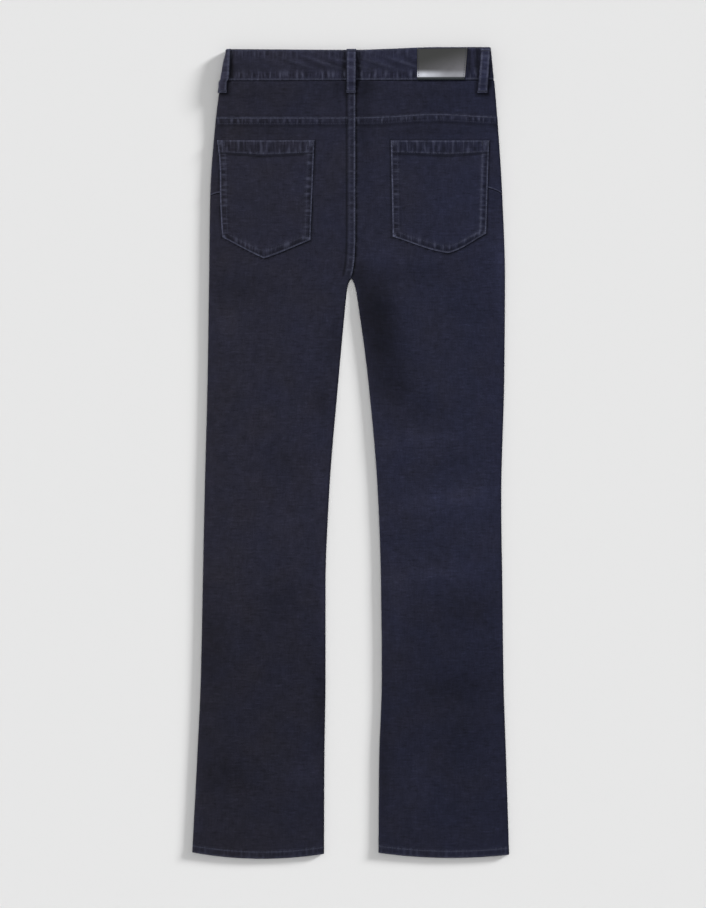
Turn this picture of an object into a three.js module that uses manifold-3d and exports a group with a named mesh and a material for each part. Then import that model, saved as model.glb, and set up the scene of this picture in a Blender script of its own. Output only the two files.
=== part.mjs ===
// Flared jeans laid flat with the back up, in millimetres.
// x: towards the wearer's right, y: towards the waist, z: up from the surface they lie on.
// Each leg is a flattened tube: the back panel turns over both folded edges and meets the
// front panel underneath, just inside the outline.

import * as THREE from 'three';
import Module from 'manifold-3d';
import { mergeVertices } from 'three/addons/utils/BufferGeometryUtils.js';

// ---------------------------------------------------------------- driving dimensions
const CLOTH = 1.2;              // denim wall
const HEM_CLOTH = 2.2;          // turned-up hem wall
const BAND_CLOTH = 2.2;         // waistband wall: two layers and interlining
const LOOP_CLOTH = 1.8;         // belt loop: folded strip
const GAP = 0.3;                // between pieces that touch
const SIDE_SEAM_IN = 8;         // side seam, in from the outer folded edge, underneath
const INSEAM_IN = 5;            // inseam, in from the inner folded edge, underneath
const WAIST_LIFT = 2.6;         // the button holds the waist this far off the surface
const BAND_HEIGHT = 8;          // waistband, folded flat, outside to outside
const BAND_SAG = 0.5;           // its upper face settles between the folds
const BAND_PROUD = 0.6;         // waistband below the front panels underneath
const BUTTON_Y = 518;
const CENTRE_FRONT_X = 1;       // the fly's middle
const CROTCH = { x: 0.7, y: 232.5 };
const CROTCH_PINCH = 2.6;       // the seams hold the cloth down here
const CROTCH_REACH = 28;        // and as far round as this
const SAG_REACH = 70;           // the upper layer settles this far from a folded edge
const HEM_DEPTH = 12;           // hem turned up by this
const HEM_BASE = -534;          // the hems curve about this line
const TURNED = 0.6;             // a pocket's turned edges stand this much higher

const DENIM = new THREE.Color('#2a2b38');
const DENIM_DARK = new THREE.Color('#262733');
const LEATHER = new THREE.Color('#55565c');
const METAL = new THREE.Color('#4a4b50');

function table(columns, rows) {
  return rows.map((row) => Object.fromEntries(columns.map((name, i) => [name, row[i]])));
}

// Outer folded edges at the waist, yoke seam, hip, crotch, thigh, knee, shin, calf, flare and hem.
const OUTER = table(['y', 'left', 'right'], [
  [541, -165, 187],
  [450, -179.5, 195.5],
  [340, -187.5, 202.5],
  [232.5, -189, 206],
  [100, -191, 205],
  [-60, -195, 201],
  [-180, -197.5, 202.5],
  [-300, -200, 204],
  [-410, -205, 207.5],
  [-534, -211.5, 211.5],
]);

// Inner folded edges from the crotch down. Their curve at the crotch is added by innerEdge.
const CROTCH_CURVE = { depth: 4.5, reach: 6 };
const INNER = table(['y', 'left', 'right'], [
  [232.5, -3.8, 5.2],
  [100, -16, 23],
  [-60, -29, 36.5],
  [-180, -33.5, 40.5],
  [-300, -33.5, 41.5],
  [-410, -35, 38],
  [-534, -35.5, 37],
]);

// Height of the folded cloth at its edges, and how much its upper layer sinks between them.
const THICKNESS = table(['y', 'fold', 'sag'], [
  [541, 7.2, 0.6],
  [496, 7.2, 0.6],
  [450, 6.6, 1.0],
  [400, 6.2, 1.2],
  [232, 6.2, 1.2],
  [150, 5.8, 1.2],
  [-440, 5.6, 1.2],
  [-534, 5.8, 0.6],
]);

// Where the two back panels meet, bending in to the crotch.
const CENTRE_BACK = table(['y', 'x'], [
  [541, 6.5],
  [290, 6.5],
  [262, 5.6],
  [244, 3.4],
  [232.5, 0.7],
]);

const HEM = {
  left: { outer: -532.7, inner: -534.7, drop: 7.6 },
  right: { outer: -535.8, inner: -533.3, drop: 5.6 },
};

// Back pockets, seen from above: x at the side edges down to the corners, and the low point.
const POCKETS = {
  left: { topLeft: -179.4, topRight: -48.1, top: 417.0, bottomLeft: -171.5, bottomRight: -53.5,
    cornerLeft: 287.7, cornerRight: 283.9, pointX: -115.7, point: 259.3, bow: 3.4, belly: 0.8 },
  right: { topLeft: 53.4, topRight: 184.9, top: 416.8, bottomLeft: 56.1, bottomRight: 180.8,
    cornerLeft: 288.2, cornerRight: 292.4, pointX: 130.6, point: 266.4, bow: 0, belly: 2.2 },
};

const PATCH = { left: 88.6, right: 156.0, lean: 4.0, bottom: 497.2, top: 539.3, thick: 1.4 };

// ---------------------------------------------------------------- curves and heights
const ease = (t) => { const c = Math.min(1, Math.max(0, t)); return c * c * (3 - 2 * c); };
const mix = (a, b, t) => a + (b - a) * t;
const bell = (t) => Math.exp(-t * t);

// Smooth reading of a table whose first column, y, falls from row to row.
function along(rows, column, y) {
  const last = rows.length - 1;
  if (y >= rows[0].y) return rows[0][column];
  if (y <= rows[last].y) return rows[last][column];
  const i = rows.findIndex((row) => row.y <= y) - 1;
  const slope = (k) => (rows[k + 1][column] - rows[k][column]) / (rows[k + 1].y - rows[k].y);
  const tangent = (k) => {
    if (k === 0 || k === last) return slope(Math.min(k, last - 1));
    const before = slope(k - 1);
    const after = slope(k);
    return before * after <= 0 ? 0 : (2 * before * after) / (before + after);
  };
  const span = rows[i + 1].y - rows[i].y;
  const t = (y - rows[i].y) / span;
  const h = t * t * (3 - 2 * t);
  return mix(rows[i][column], rows[i + 1][column], h)
    + span * (t * (1 - t) * (1 - t) * tangent(i) - t * t * (1 - t) * tangent(i + 1));
}

const wayOut = (side) => (side === 'left' ? -1 : 1);
const outerEdge = (side, y) => along(OUTER, side, y);
const innerEdge = (side, y) => along(INNER, side, y)
  - wayOut(side) * CROTCH_CURVE.depth * Math.exp(-Math.max(0, CROTCH.y - y) / CROTCH_CURVE.reach);
const liftOf = (y) => WAIST_LIFT * ease((y - 430) / 60);
const underOf = (y) => liftOf(y) + BAND_PROUD * ease((y - 465) / 28);
const yokeSeamY = (x) => 447.7 + 4.8 * bell((x - 115) / 60);
const waistSeamY = (x) => 496 + x / 380;
const waistTopY = (x) => (x < 0 ? mix(537.4, 538.2, ease(-x / 160)) : mix(537.4, 541, ease(x / 120)));

function hemY(side, x) {
  const hem = HEM[side];
  const outer = outerEdge(side, HEM_BASE);
  const inner = innerEdge(side, HEM_BASE);
  const across = Math.min(1, Math.max(0, (x - outer) / (inner - outer)));
  return mix(hem.outer, hem.inner, across) - hem.drop * 4 * across * (1 - across);
}

// Top face of the upper layer.
function topOf(side, x, y) {
  const out = Math.abs(outerEdge(side, y) - x);
  const fromCrotch = Math.hypot(x - CROTCH.x, y - CROTCH.y);
  const inn = y > CROTCH.y ? fromCrotch : Math.abs(x - innerEdge(side, y));
  const overFly = bell((x - CENTRE_FRONT_X) / 40) * ease((y - 300) / 80);
  const sag = along(THICKNESS, 'sag', y) * ease(out / SAG_REACH) * ease(inn / SAG_REACH);
  const pinch = CROTCH_PINCH * bell(fromCrotch / (CROTCH_REACH * Math.SQRT2));
  const lift = liftOf(y);
  return lift + along(THICKNESS, 'fold', y) - sag * (1 - overFly) - pinch;
}

const bandTop = (x) => WAIST_LIFT + BAND_HEIGHT - BAND_SAG * ease((170 - Math.abs(x - 10)) / 60);

// Where the cloth turns over a folded edge, at y. way is the x direction that leads off the
// cloth, run the distance past the start of the turn, depth the distance inside the skin.
function turn(side, y, edge, way, run, depth) {
  const under = underOf(y);
  const radius = foldRadius(side, y, edge, way);
  const start = edge - way * radius;
  if (run <= 0) {
    const x = start + way * run;
    return [x, topOf(side, x, y) - depth];
  }
  const angle = run / radius;
  if (angle < Math.PI) {
    const inside = radius - depth;
    return [start + way * inside * Math.sin(angle), under + radius + inside * Math.cos(angle)];
  }
  return [start - way * (run - Math.PI * radius), under + depth];
}

function foldRadius(side, y, edge, way) {
  return (topOf(side, edge - way * 3, y) - underOf(y)) / 2;
}

// How far past the start of the inner fold the inseam lies. It starts on the crotch, where
// the four panels meet, and works round to the underside.
function inseamRun(side, y) {
  const edge = innerEdge(side, y);
  const radius = foldRadius(side, y, edge, -wayOut(side));
  const down = CROTCH.y - y;
  const angle = Math.PI / 2 * (Math.min(1, down / 10) + ease((down - 10) / 35));
  return angle * radius + (INSEAM_IN - radius) * ease((down - 45) / 30);
}

const seamGap = (y) => GAP + 0.6 * bell((CROTCH.y - y) / 45);

// ---------------------------------------------------------------- solids from grids
// rows is a grid of [outer point, inner point] pairs. The two faces and the four edges close it.
function clothGeometry(rows) {
  const count = rows.length;
  const width = rows[0].length;
  const points = [];
  for (const face of [0, 1]) {
    for (const row of rows) for (const pair of row) points.push(...pair[face]);
  }
  const at = (face, r, c) => face * count * width + r * width + c;
  const faces = [];
  const quad = (a, b, c, d) => faces.push(a, b, c, a, c, d);
  for (let r = 0; r < count - 1; r += 1) {
    for (let c = 0; c < width - 1; c += 1) {
      quad(at(0, r, c), at(0, r, c + 1), at(0, r + 1, c + 1), at(0, r + 1, c));
      quad(at(1, r, c), at(1, r + 1, c), at(1, r + 1, c + 1), at(1, r, c + 1));
    }
    quad(at(0, r, 0), at(0, r + 1, 0), at(1, r + 1, 0), at(1, r, 0));
    quad(at(0, r + 1, width - 1), at(0, r, width - 1), at(1, r, width - 1), at(1, r + 1, width - 1));
  }
  for (let c = 0; c < width - 1; c += 1) {
    quad(at(0, 0, c + 1), at(0, 0, c), at(1, 0, c), at(1, 0, c + 1));
    const end = count - 1;
    quad(at(0, end, c), at(0, end, c + 1), at(1, end, c + 1), at(1, end, c));
  }
  return solid(points, faces);
}

// Turns the faces outwards if the grid ran the other way.
function solid(points, faces) {
  const corner = (i) => new THREE.Vector3().fromArray(points, faces[i] * 3);
  let volume = 0;
  for (let i = 0; i < faces.length; i += 3) {
    volume += corner(i).dot(corner(i + 1).cross(corner(i + 2)));
  }
  if (volume < 0) {
    for (let i = 0; i < faces.length; i += 3) {
      [faces[i + 1], faces[i + 2]] = [faces[i + 2], faces[i + 1]];
    }
  }
  const geometry = new THREE.BufferGeometry();
  geometry.setAttribute('position', new THREE.Float32BufferAttribute(points, 3));
  geometry.setIndex(faces);
  geometry.computeVertexNormals();
  return geometry;
}

const jeans = new THREE.Group();

function add(name, geometry, color, roughness = 0.9, metalness = 0) {
  const material = new THREE.MeshStandardMaterial({ color, roughness, metalness });
  const mesh = new THREE.Mesh(geometry, material);
  mesh.name = name;
  jeans.add(mesh);
}

// ---------------------------------------------------------------- back of the body and legs
const TOP_COLUMNS = 7;
const INNER_COLUMNS = 7;
const FLAT_BEFORE_FOLD = 7;

// Column positions, from the side seam underneath, over the outer fold and across the top.
// Above the crotch a piece ends at the centre-back seam, below it round at the inseam.
function backSection(side, y, depth) {
  const way = wayOut(side);
  const edge = outerEdge(side, y);
  const radius = foldRadius(side, y, edge, way);
  const runs = [Math.PI * radius + SIDE_SEAM_IN - radius];
  for (const part of [1, 0.75, 0.5, 0.25, 0]) runs.push(part * Math.PI * radius);
  const section = runs.map((run) => turn(side, y, edge, way, run, depth));
  const inner = backInnerColumns(side, y, depth);
  const from = section.at(-1)[0];
  for (let k = 1; k < TOP_COLUMNS; k += 1) {
    const x = mix(from, inner[0][0], k / TOP_COLUMNS);
    section.push([x, topOf(side, x, y) - depth]);
  }
  return [...section, ...inner];
}

function backInnerColumns(side, y, depth) {
  const way = -wayOut(side);
  const columns = [];
  for (let k = 0; k <= INNER_COLUMNS; k += 1) {
    const part = k / INNER_COLUMNS;
    if (y >= CROTCH.y) {
      const x = along(CENTRE_BACK, 'x', y) - way * (GAP / 2 + FLAT_BEFORE_FOLD * (1 - part));
      columns.push([x, topOf(side, x, y) - depth]);
    } else {
      const run = mix(-FLAT_BEFORE_FOLD, inseamRun(side, y) - seamGap(y) / 2, part);
      columns.push(turn(side, y, innerEdge(side, y), way, run, depth));
    }
  }
  return columns;
}

// Stations of a panel: how its y follows from x, and the wall there.
const level = (y) => ({ base: y, y: () => y, wall: CLOTH });
const fromHem = (up, wall) => ({ base: HEM_BASE + up, y: (side, x) => hemY(side, x) + up, wall });
const LEG_STATIONS = [
  level(400), level(345), level(290), level(255), level(240), level(232.6),
  level(228), level(221), level(210), level(198), level(184), level(166), level(140), level(95),
  level(30),
  level(-40), level(-116), level(-200), level(-290), level(-380), level(-460),
  fromHem(HEM_DEPTH + 3, CLOTH), fromHem(HEM_DEPTH, HEM_CLOTH), fromHem(0, HEM_CLOTH),
];

function panelRows(stations, side, section) {
  return stations.map((station) => {
    const outer = section(side, station.base, 0);
    const inner = section(side, station.base, station.wall);
    return outer.map(([x, z], i) => {
      const y = station.y(side, x);
      return [[x, y, z], [inner[i][0], y, inner[i][1]]];
    });
  });
}

function backPanel(side) {
  const top = { base: 448, y: (_, x) => yokeSeamY(x) - GAP / 2, wall: CLOTH };
  const stations = [top, level(430), ...LEG_STATIONS];
  add(`back_panel_${side}`, clothGeometry(panelRows(stations, side, backSection)), DENIM);
}

function backYoke(side) {
  const stations = [
    { base: 495, y: (_, x) => waistSeamY(x) - GAP / 2, wall: CLOTH },
    level(480), level(465),
    { base: 449, y: (_, x) => yokeSeamY(x) + GAP / 2, wall: CLOTH },
  ];
  add(`back_yoke_${side}`, clothGeometry(panelRows(stations, side, backSection)), DENIM_DARK);
}

// ---------------------------------------------------------------- front, underneath
const FRONT_COLUMNS = 4;
const FRONT_INNER_COLUMNS = 5;

function frontSection(side, y, depth) {
  const way = -wayOut(side);
  const outerX = outerEdge(side, y) + way * (SIDE_SEAM_IN + GAP);
  const inner = [];
  for (let k = 0; k <= FRONT_INNER_COLUMNS; k += 1) {
    const part = k / FRONT_INNER_COLUMNS;
    if (y >= CROTCH.y) {
      const seam = Math.min(1, (y - CROTCH.y) / 20) * (CENTRE_FRONT_X - CROTCH.x) + CROTCH.x;
      inner.push([seam - way * (GAP / 2 + FLAT_BEFORE_FOLD * part), underOf(y) + depth]);
    } else {
      const edge = innerEdge(side, y);
      const flat = Math.PI * foldRadius(side, y, edge, way) + FLAT_BEFORE_FOLD;
      const run = mix(inseamRun(side, y) + seamGap(y) / 2, flat, part);
      inner.push(turn(side, y, edge, way, run, depth));
    }
  }
  for (let k = 1; k <= FRONT_COLUMNS; k += 1) {
    inner.push([mix(inner[FRONT_INNER_COLUMNS][0], outerX, k / FRONT_COLUMNS), underOf(y) + depth]);
  }
  return inner;
}

function frontPanel(side) {
  const top = { base: 495, y: (_, x) => waistSeamY(x) - GAP / 2, wall: CLOTH };
  const stations = [top, level(480), level(465), level(448), level(430), ...LEG_STATIONS];
  add(`front_panel_${side}`, clothGeometry(panelRows(stations, side, frontSection)), DENIM);
}

// ---------------------------------------------------------------- waistband
const BAND = { holeEnd: 15, buttonEnd: -22, stepFrom: 42, stepTo: 18, insetLeft: 1.5, insetRight: 0.3 };

// One strip, from the buttonhole end underneath, round the left fold, across the back, round
// the right fold and back to the button end, which lies inside the buttonhole end.
function bandSection(base, depth) {
  const radius = BAND_HEIGHT / 2;
  const inside = radius - depth;
  const leftStart = outerEdge('left', base) + BAND.insetLeft + radius;
  const rightStart = outerEdge('right', base) - BAND.insetRight - radius;
  const section = [];
  for (const x of [BAND.holeEnd, 7, -6, -22, -60, -110]) section.push([x, WAIST_LIFT + depth]);
  for (let k = 4; k >= 0; k -= 1) {
    const angle = Math.PI * k / 4;
    section.push([leftStart - inside * Math.sin(angle), WAIST_LIFT + radius + inside * Math.cos(angle)]);
  }
  for (let k = 1; k < 14; k += 1) {
    const x = mix(leftStart, rightStart, k / 14);
    section.push([x, bandTop(x) - depth]);
  }
  for (let k = 0; k <= 4; k += 1) {
    const angle = Math.PI * k / 4;
    section.push([rightStart + inside * Math.sin(angle), WAIST_LIFT + radius + inside * Math.cos(angle)]);
  }
  const step = BAND_CLOTH + GAP;
  for (const x of [120, 70, BAND.stepFrom, mix(BAND.stepFrom, BAND.stepTo, 0.5), BAND.stepTo,
    7, -6, BAND.buttonEnd]) {
    const up = step * ease((BAND.stepFrom - x) / (BAND.stepFrom - BAND.stepTo));
    section.push([x, WAIST_LIFT + up + depth]);
  }
  return section;
}

function bandRows() {
  const heights = [0, 0.12, 0.85, 1];
  return heights.map((height) => {
    const base = mix(496, 539, height);
    const edge = height === 0 || height === 1 ? 0.4 : 0;
    const outer = bandSection(base, edge);
    const inner = bandSection(base, BAND_CLOTH - edge);
    return outer.map(([x, z], i) => {
      const y = mix(waistSeamY(x) + GAP / 2, waistTopY(x), height);
      return [[x, y, z], [inner[i][0], y, inner[i][1]]];
    });
  });
}

const BUTTON = { head: 8.5, thick: 2.2, shank: 1.9, hole: 2.3 };

// The buttonhole is cut in the outer end only: the inner end lies above it.
async function waistband() {
  const wasm = await Module();
  wasm.setup();
  const toManifold = (geometry) => {
    const plain = geometry.clone();
    plain.deleteAttribute('normal');
    plain.deleteAttribute('uv');
    const merged = mergeVertices(plain, 1e-4);
    return new wasm.Manifold(new wasm.Mesh({
      numProp: 3,
      vertProperties: new Float32Array(merged.attributes.position.array),
      triVerts: new Uint32Array(merged.index.array),
    }));
  };
  const cutter = new THREE.CylinderGeometry(BUTTON.hole, BUTTON.hole, BAND_CLOTH + 0.2, 12);
  cutter.rotateX(Math.PI / 2);
  cutter.translate(CENTRE_FRONT_X, BUTTON_Y, WAIST_LIFT + BAND_CLOTH / 2);
  const cut = toManifold(clothGeometry(bandRows())).subtract(toManifold(cutter)).getMesh();
  add('waistband', solid([...cut.vertProperties], [...cut.triVerts]), DENIM);
}

// ---------------------------------------------------------------- pieces on the panels
function backPocket(side) {
  const pocket = POCKETS[side];
  const columns = [0, 0.04, 0.2, 0.35, 0.5, 0.65, 0.8, 0.96, 1];
  const rows = [0, 0.1, 0.12, 0.35, 0.6, 0.8, 0.95, 1];
  const point = (pocket.pointX - pocket.bottomLeft) / (pocket.bottomRight - pocket.bottomLeft);
  const grid = rows.map((down) => columns.map((across, c) => {
    const bow = pocket.bow * bell((down - 0.3) / 0.3) * (1 - down);
    const left = mix(pocket.topLeft, pocket.bottomLeft, down) + bow;
    const x = mix(left, mix(pocket.topRight, pocket.bottomRight, down), across);
    const near = across < point ? across / point : (1 - across) / (1 - point);
    const corner = across < point ? pocket.cornerLeft : pocket.cornerRight;
    const belly = pocket.belly * 6.75 * near * near * (1 - near);
    const y = mix(pocket.top, mix(corner, pocket.point, near) - belly, down);
    const turned = down <= 0.1 || down >= 0.95 || c === 0 || c === columns.length - 1;
    const base = topOf(side, x, y) + GAP;
    return [[x, y, base + CLOTH + (turned ? TURNED : 0)], [x, y, base]];
  }));
  add(`back_pocket_${side}`, clothGeometry(grid), DENIM);
}

function leatherPatch() {
  const grid = [0, 0.08, 0.5, 0.92, 1].map((down) => [0, 0.05, 0.35, 0.65, 0.95, 1].map((across) => {
    const x = mix(PATCH.left, PATCH.right - PATCH.lean * down, across);
    const y = mix(PATCH.top, PATCH.bottom, down);
    const rim = Math.min(down, 1 - down, across, 1 - across) === 0;
    const base = bandTop(x) + GAP;
    return [[x, y, base + PATCH.thick - (rim ? 0.4 : 0)], [x, y, base]];
  }));
  add('leather_patch', clothGeometry(grid), LEATHER, 0.35);
}

// ---------------------------------------------------------------- belt loops
const LOOP = { foot: 480, top: 539, clear: 4.4, bow: 10, foots: 6 };

// Stations up a loop: y, and how far its middle stands clear of the waistband.
function loopStations(clear) {
  const { foot, foots, top, bow } = LOOP;
  return [
    { y: foot, up: 0 },
    { y: foot + foots, up: 0 },
    { y: foot + foots + bow * 0.6, up: clear * 0.55 },
    { y: foot + foots + bow + 1, up: clear },
    { y: (foot + top) / 2 + 2, up: clear },
    { y: top - foots - bow, up: clear },
    { y: top - foots - bow * 0.4, up: clear * 0.5 },
    { y: top - foots, up: 0 },
    { y: top - 0.6, up: 0 },
  ];
}

// The upper face under a loop: yoke first, then the thicker waistband.
function loopSeat(side, x, y) {
  return mix(topOf(side, x, Math.min(y, 494)), bandTop(x), ease((y - 494.5) / 4));
}

function upperLoop(name, side, foot, top) {
  const flatX = side === 'left' ? foot.left : Math.min(foot.left, top.left);
  const grid = loopStations(LOOP.clear).map(({ y, up }) => {
    const part = (y - LOOP.foot) / (LOOP.top - LOOP.foot);
    const left = mix(foot.left, top.left, part);
    const right = mix(foot.right, top.right, part);
    const under = loopSeat(side, flatX, y) + GAP + up;
    return [0, 0.12, 0.88, 1].map((across) => {
      const x = mix(left, right, across);
      const rim = across === 0 || across === 1 ? 0.3 : 0;
      return [[x, y, under + LOOP_CLOTH - rim], [x, y, under + rim]];
    });
  });
  add(name, clothGeometry(grid), DENIM);
}

// The loop on the left edge bends round the fold with the waistband, close to it. It stands
// upright, so it lies further round the fold at its top.
const EDGE_LOOP = { width: 12.5, footRun: -7.3, topRun: -0.4 };

function edgeLoop(name) {
  const stations = loopStations(0.9);
  const grid = stations.map(({ y, up }) => {
    const onBand = ease((y - 494.5) / 4);
    const yokeRadius = foldRadius('left', Math.min(y, 494), outerEdge('left', y), -1);
    const radius = mix(yokeRadius, BAND_HEIGHT / 2, onBand);
    const centreZ = mix(underOf(Math.min(y, 494)) + yokeRadius, WAIST_LIFT + radius, onBand);
    const startX = outerEdge('left', y) + radius + BAND.insetLeft * onBand;
    const clear = GAP + up;
    const spread = [];
    const first = mix(EDGE_LOOP.footRun, EDGE_LOOP.topRun, (y - LOOP.foot) / (LOOP.top - LOOP.foot));
    for (const part of [0, 0.2, 0.4, 0.55, 0.7, 0.85, 1]) {
      const run = first + EDGE_LOOP.width * part;
      const face = (h) => {
        if (run <= 0) return [startX - run, y, centreZ + radius + h];
        const angle = run / radius;
        return [startX - (radius + h) * Math.sin(angle), y, centreZ + (radius + h) * Math.cos(angle)];
      };
      spread.push([face(clear + LOOP_CLOTH), face(clear)]);
    }
    return spread;
  });
  add(name, clothGeometry(grid), DENIM);
}

// Loops on the front lie pressed flat under the waistband.
function lowerLoop(name, x0) {
  const grid = loopStations(0).map(({ y }) => [-6.5, -5.5, 5.5, 6.5].map((dx) => {
    const seat = mix(underOf(Math.min(y, 490)), WAIST_LIFT, ease((y - 484) / 6));
    const thick = LOOP_CLOTH - (Math.abs(dx) > 6 ? 0.5 : 0);
    return [[x0 + dx, y, seat - GAP - thick], [x0 + dx, y, seat - GAP]];
  }));
  add(name, clothGeometry(grid), DENIM);
}

// ---------------------------------------------------------------- fly
const ZIP = { width: 26, thick: 1, top: 492, bottom: 372 };

function zipTape() {
  const rows = [ZIP.top, 480, 462, 445, 430, 400, ZIP.bottom];
  const grid = rows.map((y) => [-0.5, -0.15, 0.15, 0.5].map((across) => {
    const x = CENTRE_FRONT_X + across * ZIP.width;
    const base = underOf(y) + CLOTH + GAP;
    return [[x, y, base + ZIP.thick], [x, y, base]];
  }));
  add('zip_tape', clothGeometry(grid), DENIM_DARK);
}

// Slider body with its tab folded down, inside the closed fly.
function zipSlider() {
  const base = underOf(487) + CLOTH + ZIP.thick + 2 * GAP + 0.1;
  const outline = new THREE.Shape();
  outline.moveTo(-4, 0);
  outline.lineTo(-2.2, -7);
  outline.lineTo(-2.4, -12);
  outline.absarc(0, -12, 2.4, Math.PI, 2 * Math.PI, false);
  outline.lineTo(2.2, -7);
  outline.lineTo(4, 0);
  outline.closePath();
  const geometry = new THREE.ExtrudeGeometry(outline, { depth: 1.3, bevelEnabled: false, curveSegments: 8 });
  geometry.translate(CENTRE_FRONT_X, 489, base);
  add('zip_slider', geometry, METAL, 0.35, 1);
}

// Jeans button: domed head underneath, shank up through the buttonhole.
function waistButton() {
  const { head, thick, shank } = BUTTON;
  const profile = [
    [0, 0], [head - 1.6, 0], [head - 0.4, 0.5], [head, 1.2], [head - 0.3, thick - 0.2],
    [head - 0.8, thick], [shank, thick], [shank, WAIST_LIFT + BAND_CLOTH], [0, WAIST_LIFT + BAND_CLOTH],
  ].map(([r, z]) => new THREE.Vector2(r, z));
  const geometry = new THREE.LatheGeometry(profile, 20);
  geometry.rotateX(Math.PI / 2);
  geometry.translate(CENTRE_FRONT_X, BUTTON_Y, 0);
  const merged = (() => {
    geometry.deleteAttribute('normal');
    geometry.deleteAttribute('uv');
    return mergeVertices(geometry, 1e-4);
  })();
  add('waist_button', solid([...merged.attributes.position.array], [...merged.index.array]), METAL, 0.35, 1);
}

// ---------------------------------------------------------------- assembly
for (const side of ['left', 'right']) {
  backPanel(side);
  backYoke(side);
  frontPanel(side);
  backPocket(side);
}
await waistband();
leatherPatch();
upperLoop('belt_loop_centre', 'left', { left: -6, right: 7 }, { left: -5.5, right: 7.5 });
upperLoop('belt_loop_right', 'right', { left: 168.6, right: 182.6 }, { left: 173.4, right: 186.6 });
edgeLoop('belt_loop_left');
lowerLoop('belt_loop_front_left', -96);
lowerLoop('belt_loop_front_right', 98);
zipTape();
zipSlider();
waistButton();

// The origin is the middle of the box, on the surface.
const box = new THREE.Box3().setFromObject(jeans);
const centre = box.getCenter(new THREE.Vector3());
jeans.position.set(-centre.x, -centre.y, -box.min.z);

export default jeans;
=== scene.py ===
"""Flared jeans laid flat with the back up: cloth, seams, stitching and trims."""

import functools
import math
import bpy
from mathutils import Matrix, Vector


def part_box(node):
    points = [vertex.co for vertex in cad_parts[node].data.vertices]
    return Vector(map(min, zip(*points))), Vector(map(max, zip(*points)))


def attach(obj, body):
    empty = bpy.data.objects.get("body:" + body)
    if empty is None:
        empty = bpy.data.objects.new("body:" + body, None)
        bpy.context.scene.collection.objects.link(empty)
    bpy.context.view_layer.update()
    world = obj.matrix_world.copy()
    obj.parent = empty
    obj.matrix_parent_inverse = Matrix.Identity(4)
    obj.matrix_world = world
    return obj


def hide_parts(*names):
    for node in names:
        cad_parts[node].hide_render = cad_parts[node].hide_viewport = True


bl_info = {
    "name": "Flared Jeans",
    "version": (1, 0, 0),
    "blender": (4, 5, 0),
    "location": "3D View > Sidebar > Jeans",
    "description": "Dark stretch denim jeans laid flat, with their seams, stitching and trims",
    "category": "Object",
}

import bpy
import numpy as np
from bpy.props import FloatProperty, FloatVectorProperty, PointerProperty
from mathutils import Vector

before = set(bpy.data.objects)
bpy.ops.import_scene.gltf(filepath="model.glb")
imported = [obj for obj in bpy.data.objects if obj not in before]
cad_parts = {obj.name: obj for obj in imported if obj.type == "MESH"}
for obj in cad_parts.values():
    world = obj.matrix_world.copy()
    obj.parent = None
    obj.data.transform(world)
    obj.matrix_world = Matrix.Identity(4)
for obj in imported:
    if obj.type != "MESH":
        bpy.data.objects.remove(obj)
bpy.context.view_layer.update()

MM = 0.001
SIDES = ("left", "right")

# ------------------------------------------------------------------ sizes, in millimetres
CLOTH = 1.2
HEM_CLOTH = 2.2
BAND_CLOTH = 2.2
LOOP_CLOTH = 1.8
GAP = 0.3
SIDE_SEAM_IN = 8
INSEAM_IN = 5
WAIST_LIFT = 2.6
BAND_HEIGHT = 8
BAND_SAG = 0.5
BAND_PROUD = 0.6
TAPE_CLOTH = 0.9
BAND_TALL = 43.0
BAND_ROW = 2.3          # rows of stitches in from the waistband's edges
CENTRE_FRONT_X = 1
CROTCH_X, CROTCH_Y = 0.7, 232.5
CROTCH_PINCH = 2.6
CROTCH_REACH = 28
SAG_REACH = 70
HEM_DEPTH = 12
HEM_BASE = -534
HEM_GRID = 17           # how far above a hem the rows of a leg follow its curve
HEM_ROW = 9             # row of stitches above a hem's edge
FELL_WIDTH = 10.8       # flat-felled seam
ROW_NEAR = 1.8          # first row of stitches from a seam or an edge
ROW_FAR = 8.2           # second row
# Levels of y at which the rows along the seams take the form of the folded cloth.
PANEL_TOP_Y = 448
YOKE_LOW_Y, YOKE_TOP_Y = 449, 495
BAND_LOW_Y, BAND_TOP_Y = 496, 539
FRONT_TOP_Y = 494
TAPE_TOP_Y, TAPE_LOW_Y = 492, 372
# The waistband's highest edge in these sizes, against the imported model's, gives the frame's shift.
WAIST_TOP = 541.0
SHIFT_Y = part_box("waistband")[1].y / MM - WAIST_TOP


def table(columns, rows):
    """A dict of arrays, one for each named column."""
    return {name: np.array([row[i] for row in rows]) for i, name in enumerate(columns)}


# Outer folded edges at the waist, yoke seam, hip, crotch, thigh, knee, shin, calf, flare and hem.
OUTER = table(("y", "left", "right"), [
    (541, -165, 187),
    (450, -179.5, 195.5),
    (340, -187.5, 202.5),
    (232.5, -189, 206),
    (100, -191, 205),
    (-60, -195, 201),
    (-180, -197.5, 202.5),
    (-300, -200, 204),
    (-410, -205, 207.5),
    (-534, -211.5, 211.5),
])

# Inner folded edges from the crotch down. Their curve at the crotch is added by inner_edge.
CROTCH_CURVE_DEPTH = 4.5
CROTCH_CURVE_REACH = 6
INNER = table(("y", "left", "right"), [
    (232.5, -3.8, 5.2),
    (100, -16, 23),
    (-60, -29, 36.5),
    (-180, -33.5, 40.5),
    (-300, -33.5, 41.5),
    (-410, -35, 38),
    (-534, -35.5, 37),
])

# Height of the folded cloth at its edges, and how much its upper layer sinks between them.
THICKNESS = table(("y", "fold", "sag"), [
    (541, 7.2, 0.6),
    (496, 7.2, 0.6),
    (450, 6.6, 1.0),
    (400, 6.2, 1.2),
    (232, 6.2, 1.2),
    (150, 5.8, 1.2),
    (-440, 5.6, 1.2),
    (-534, 5.8, 0.6),
])

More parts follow.
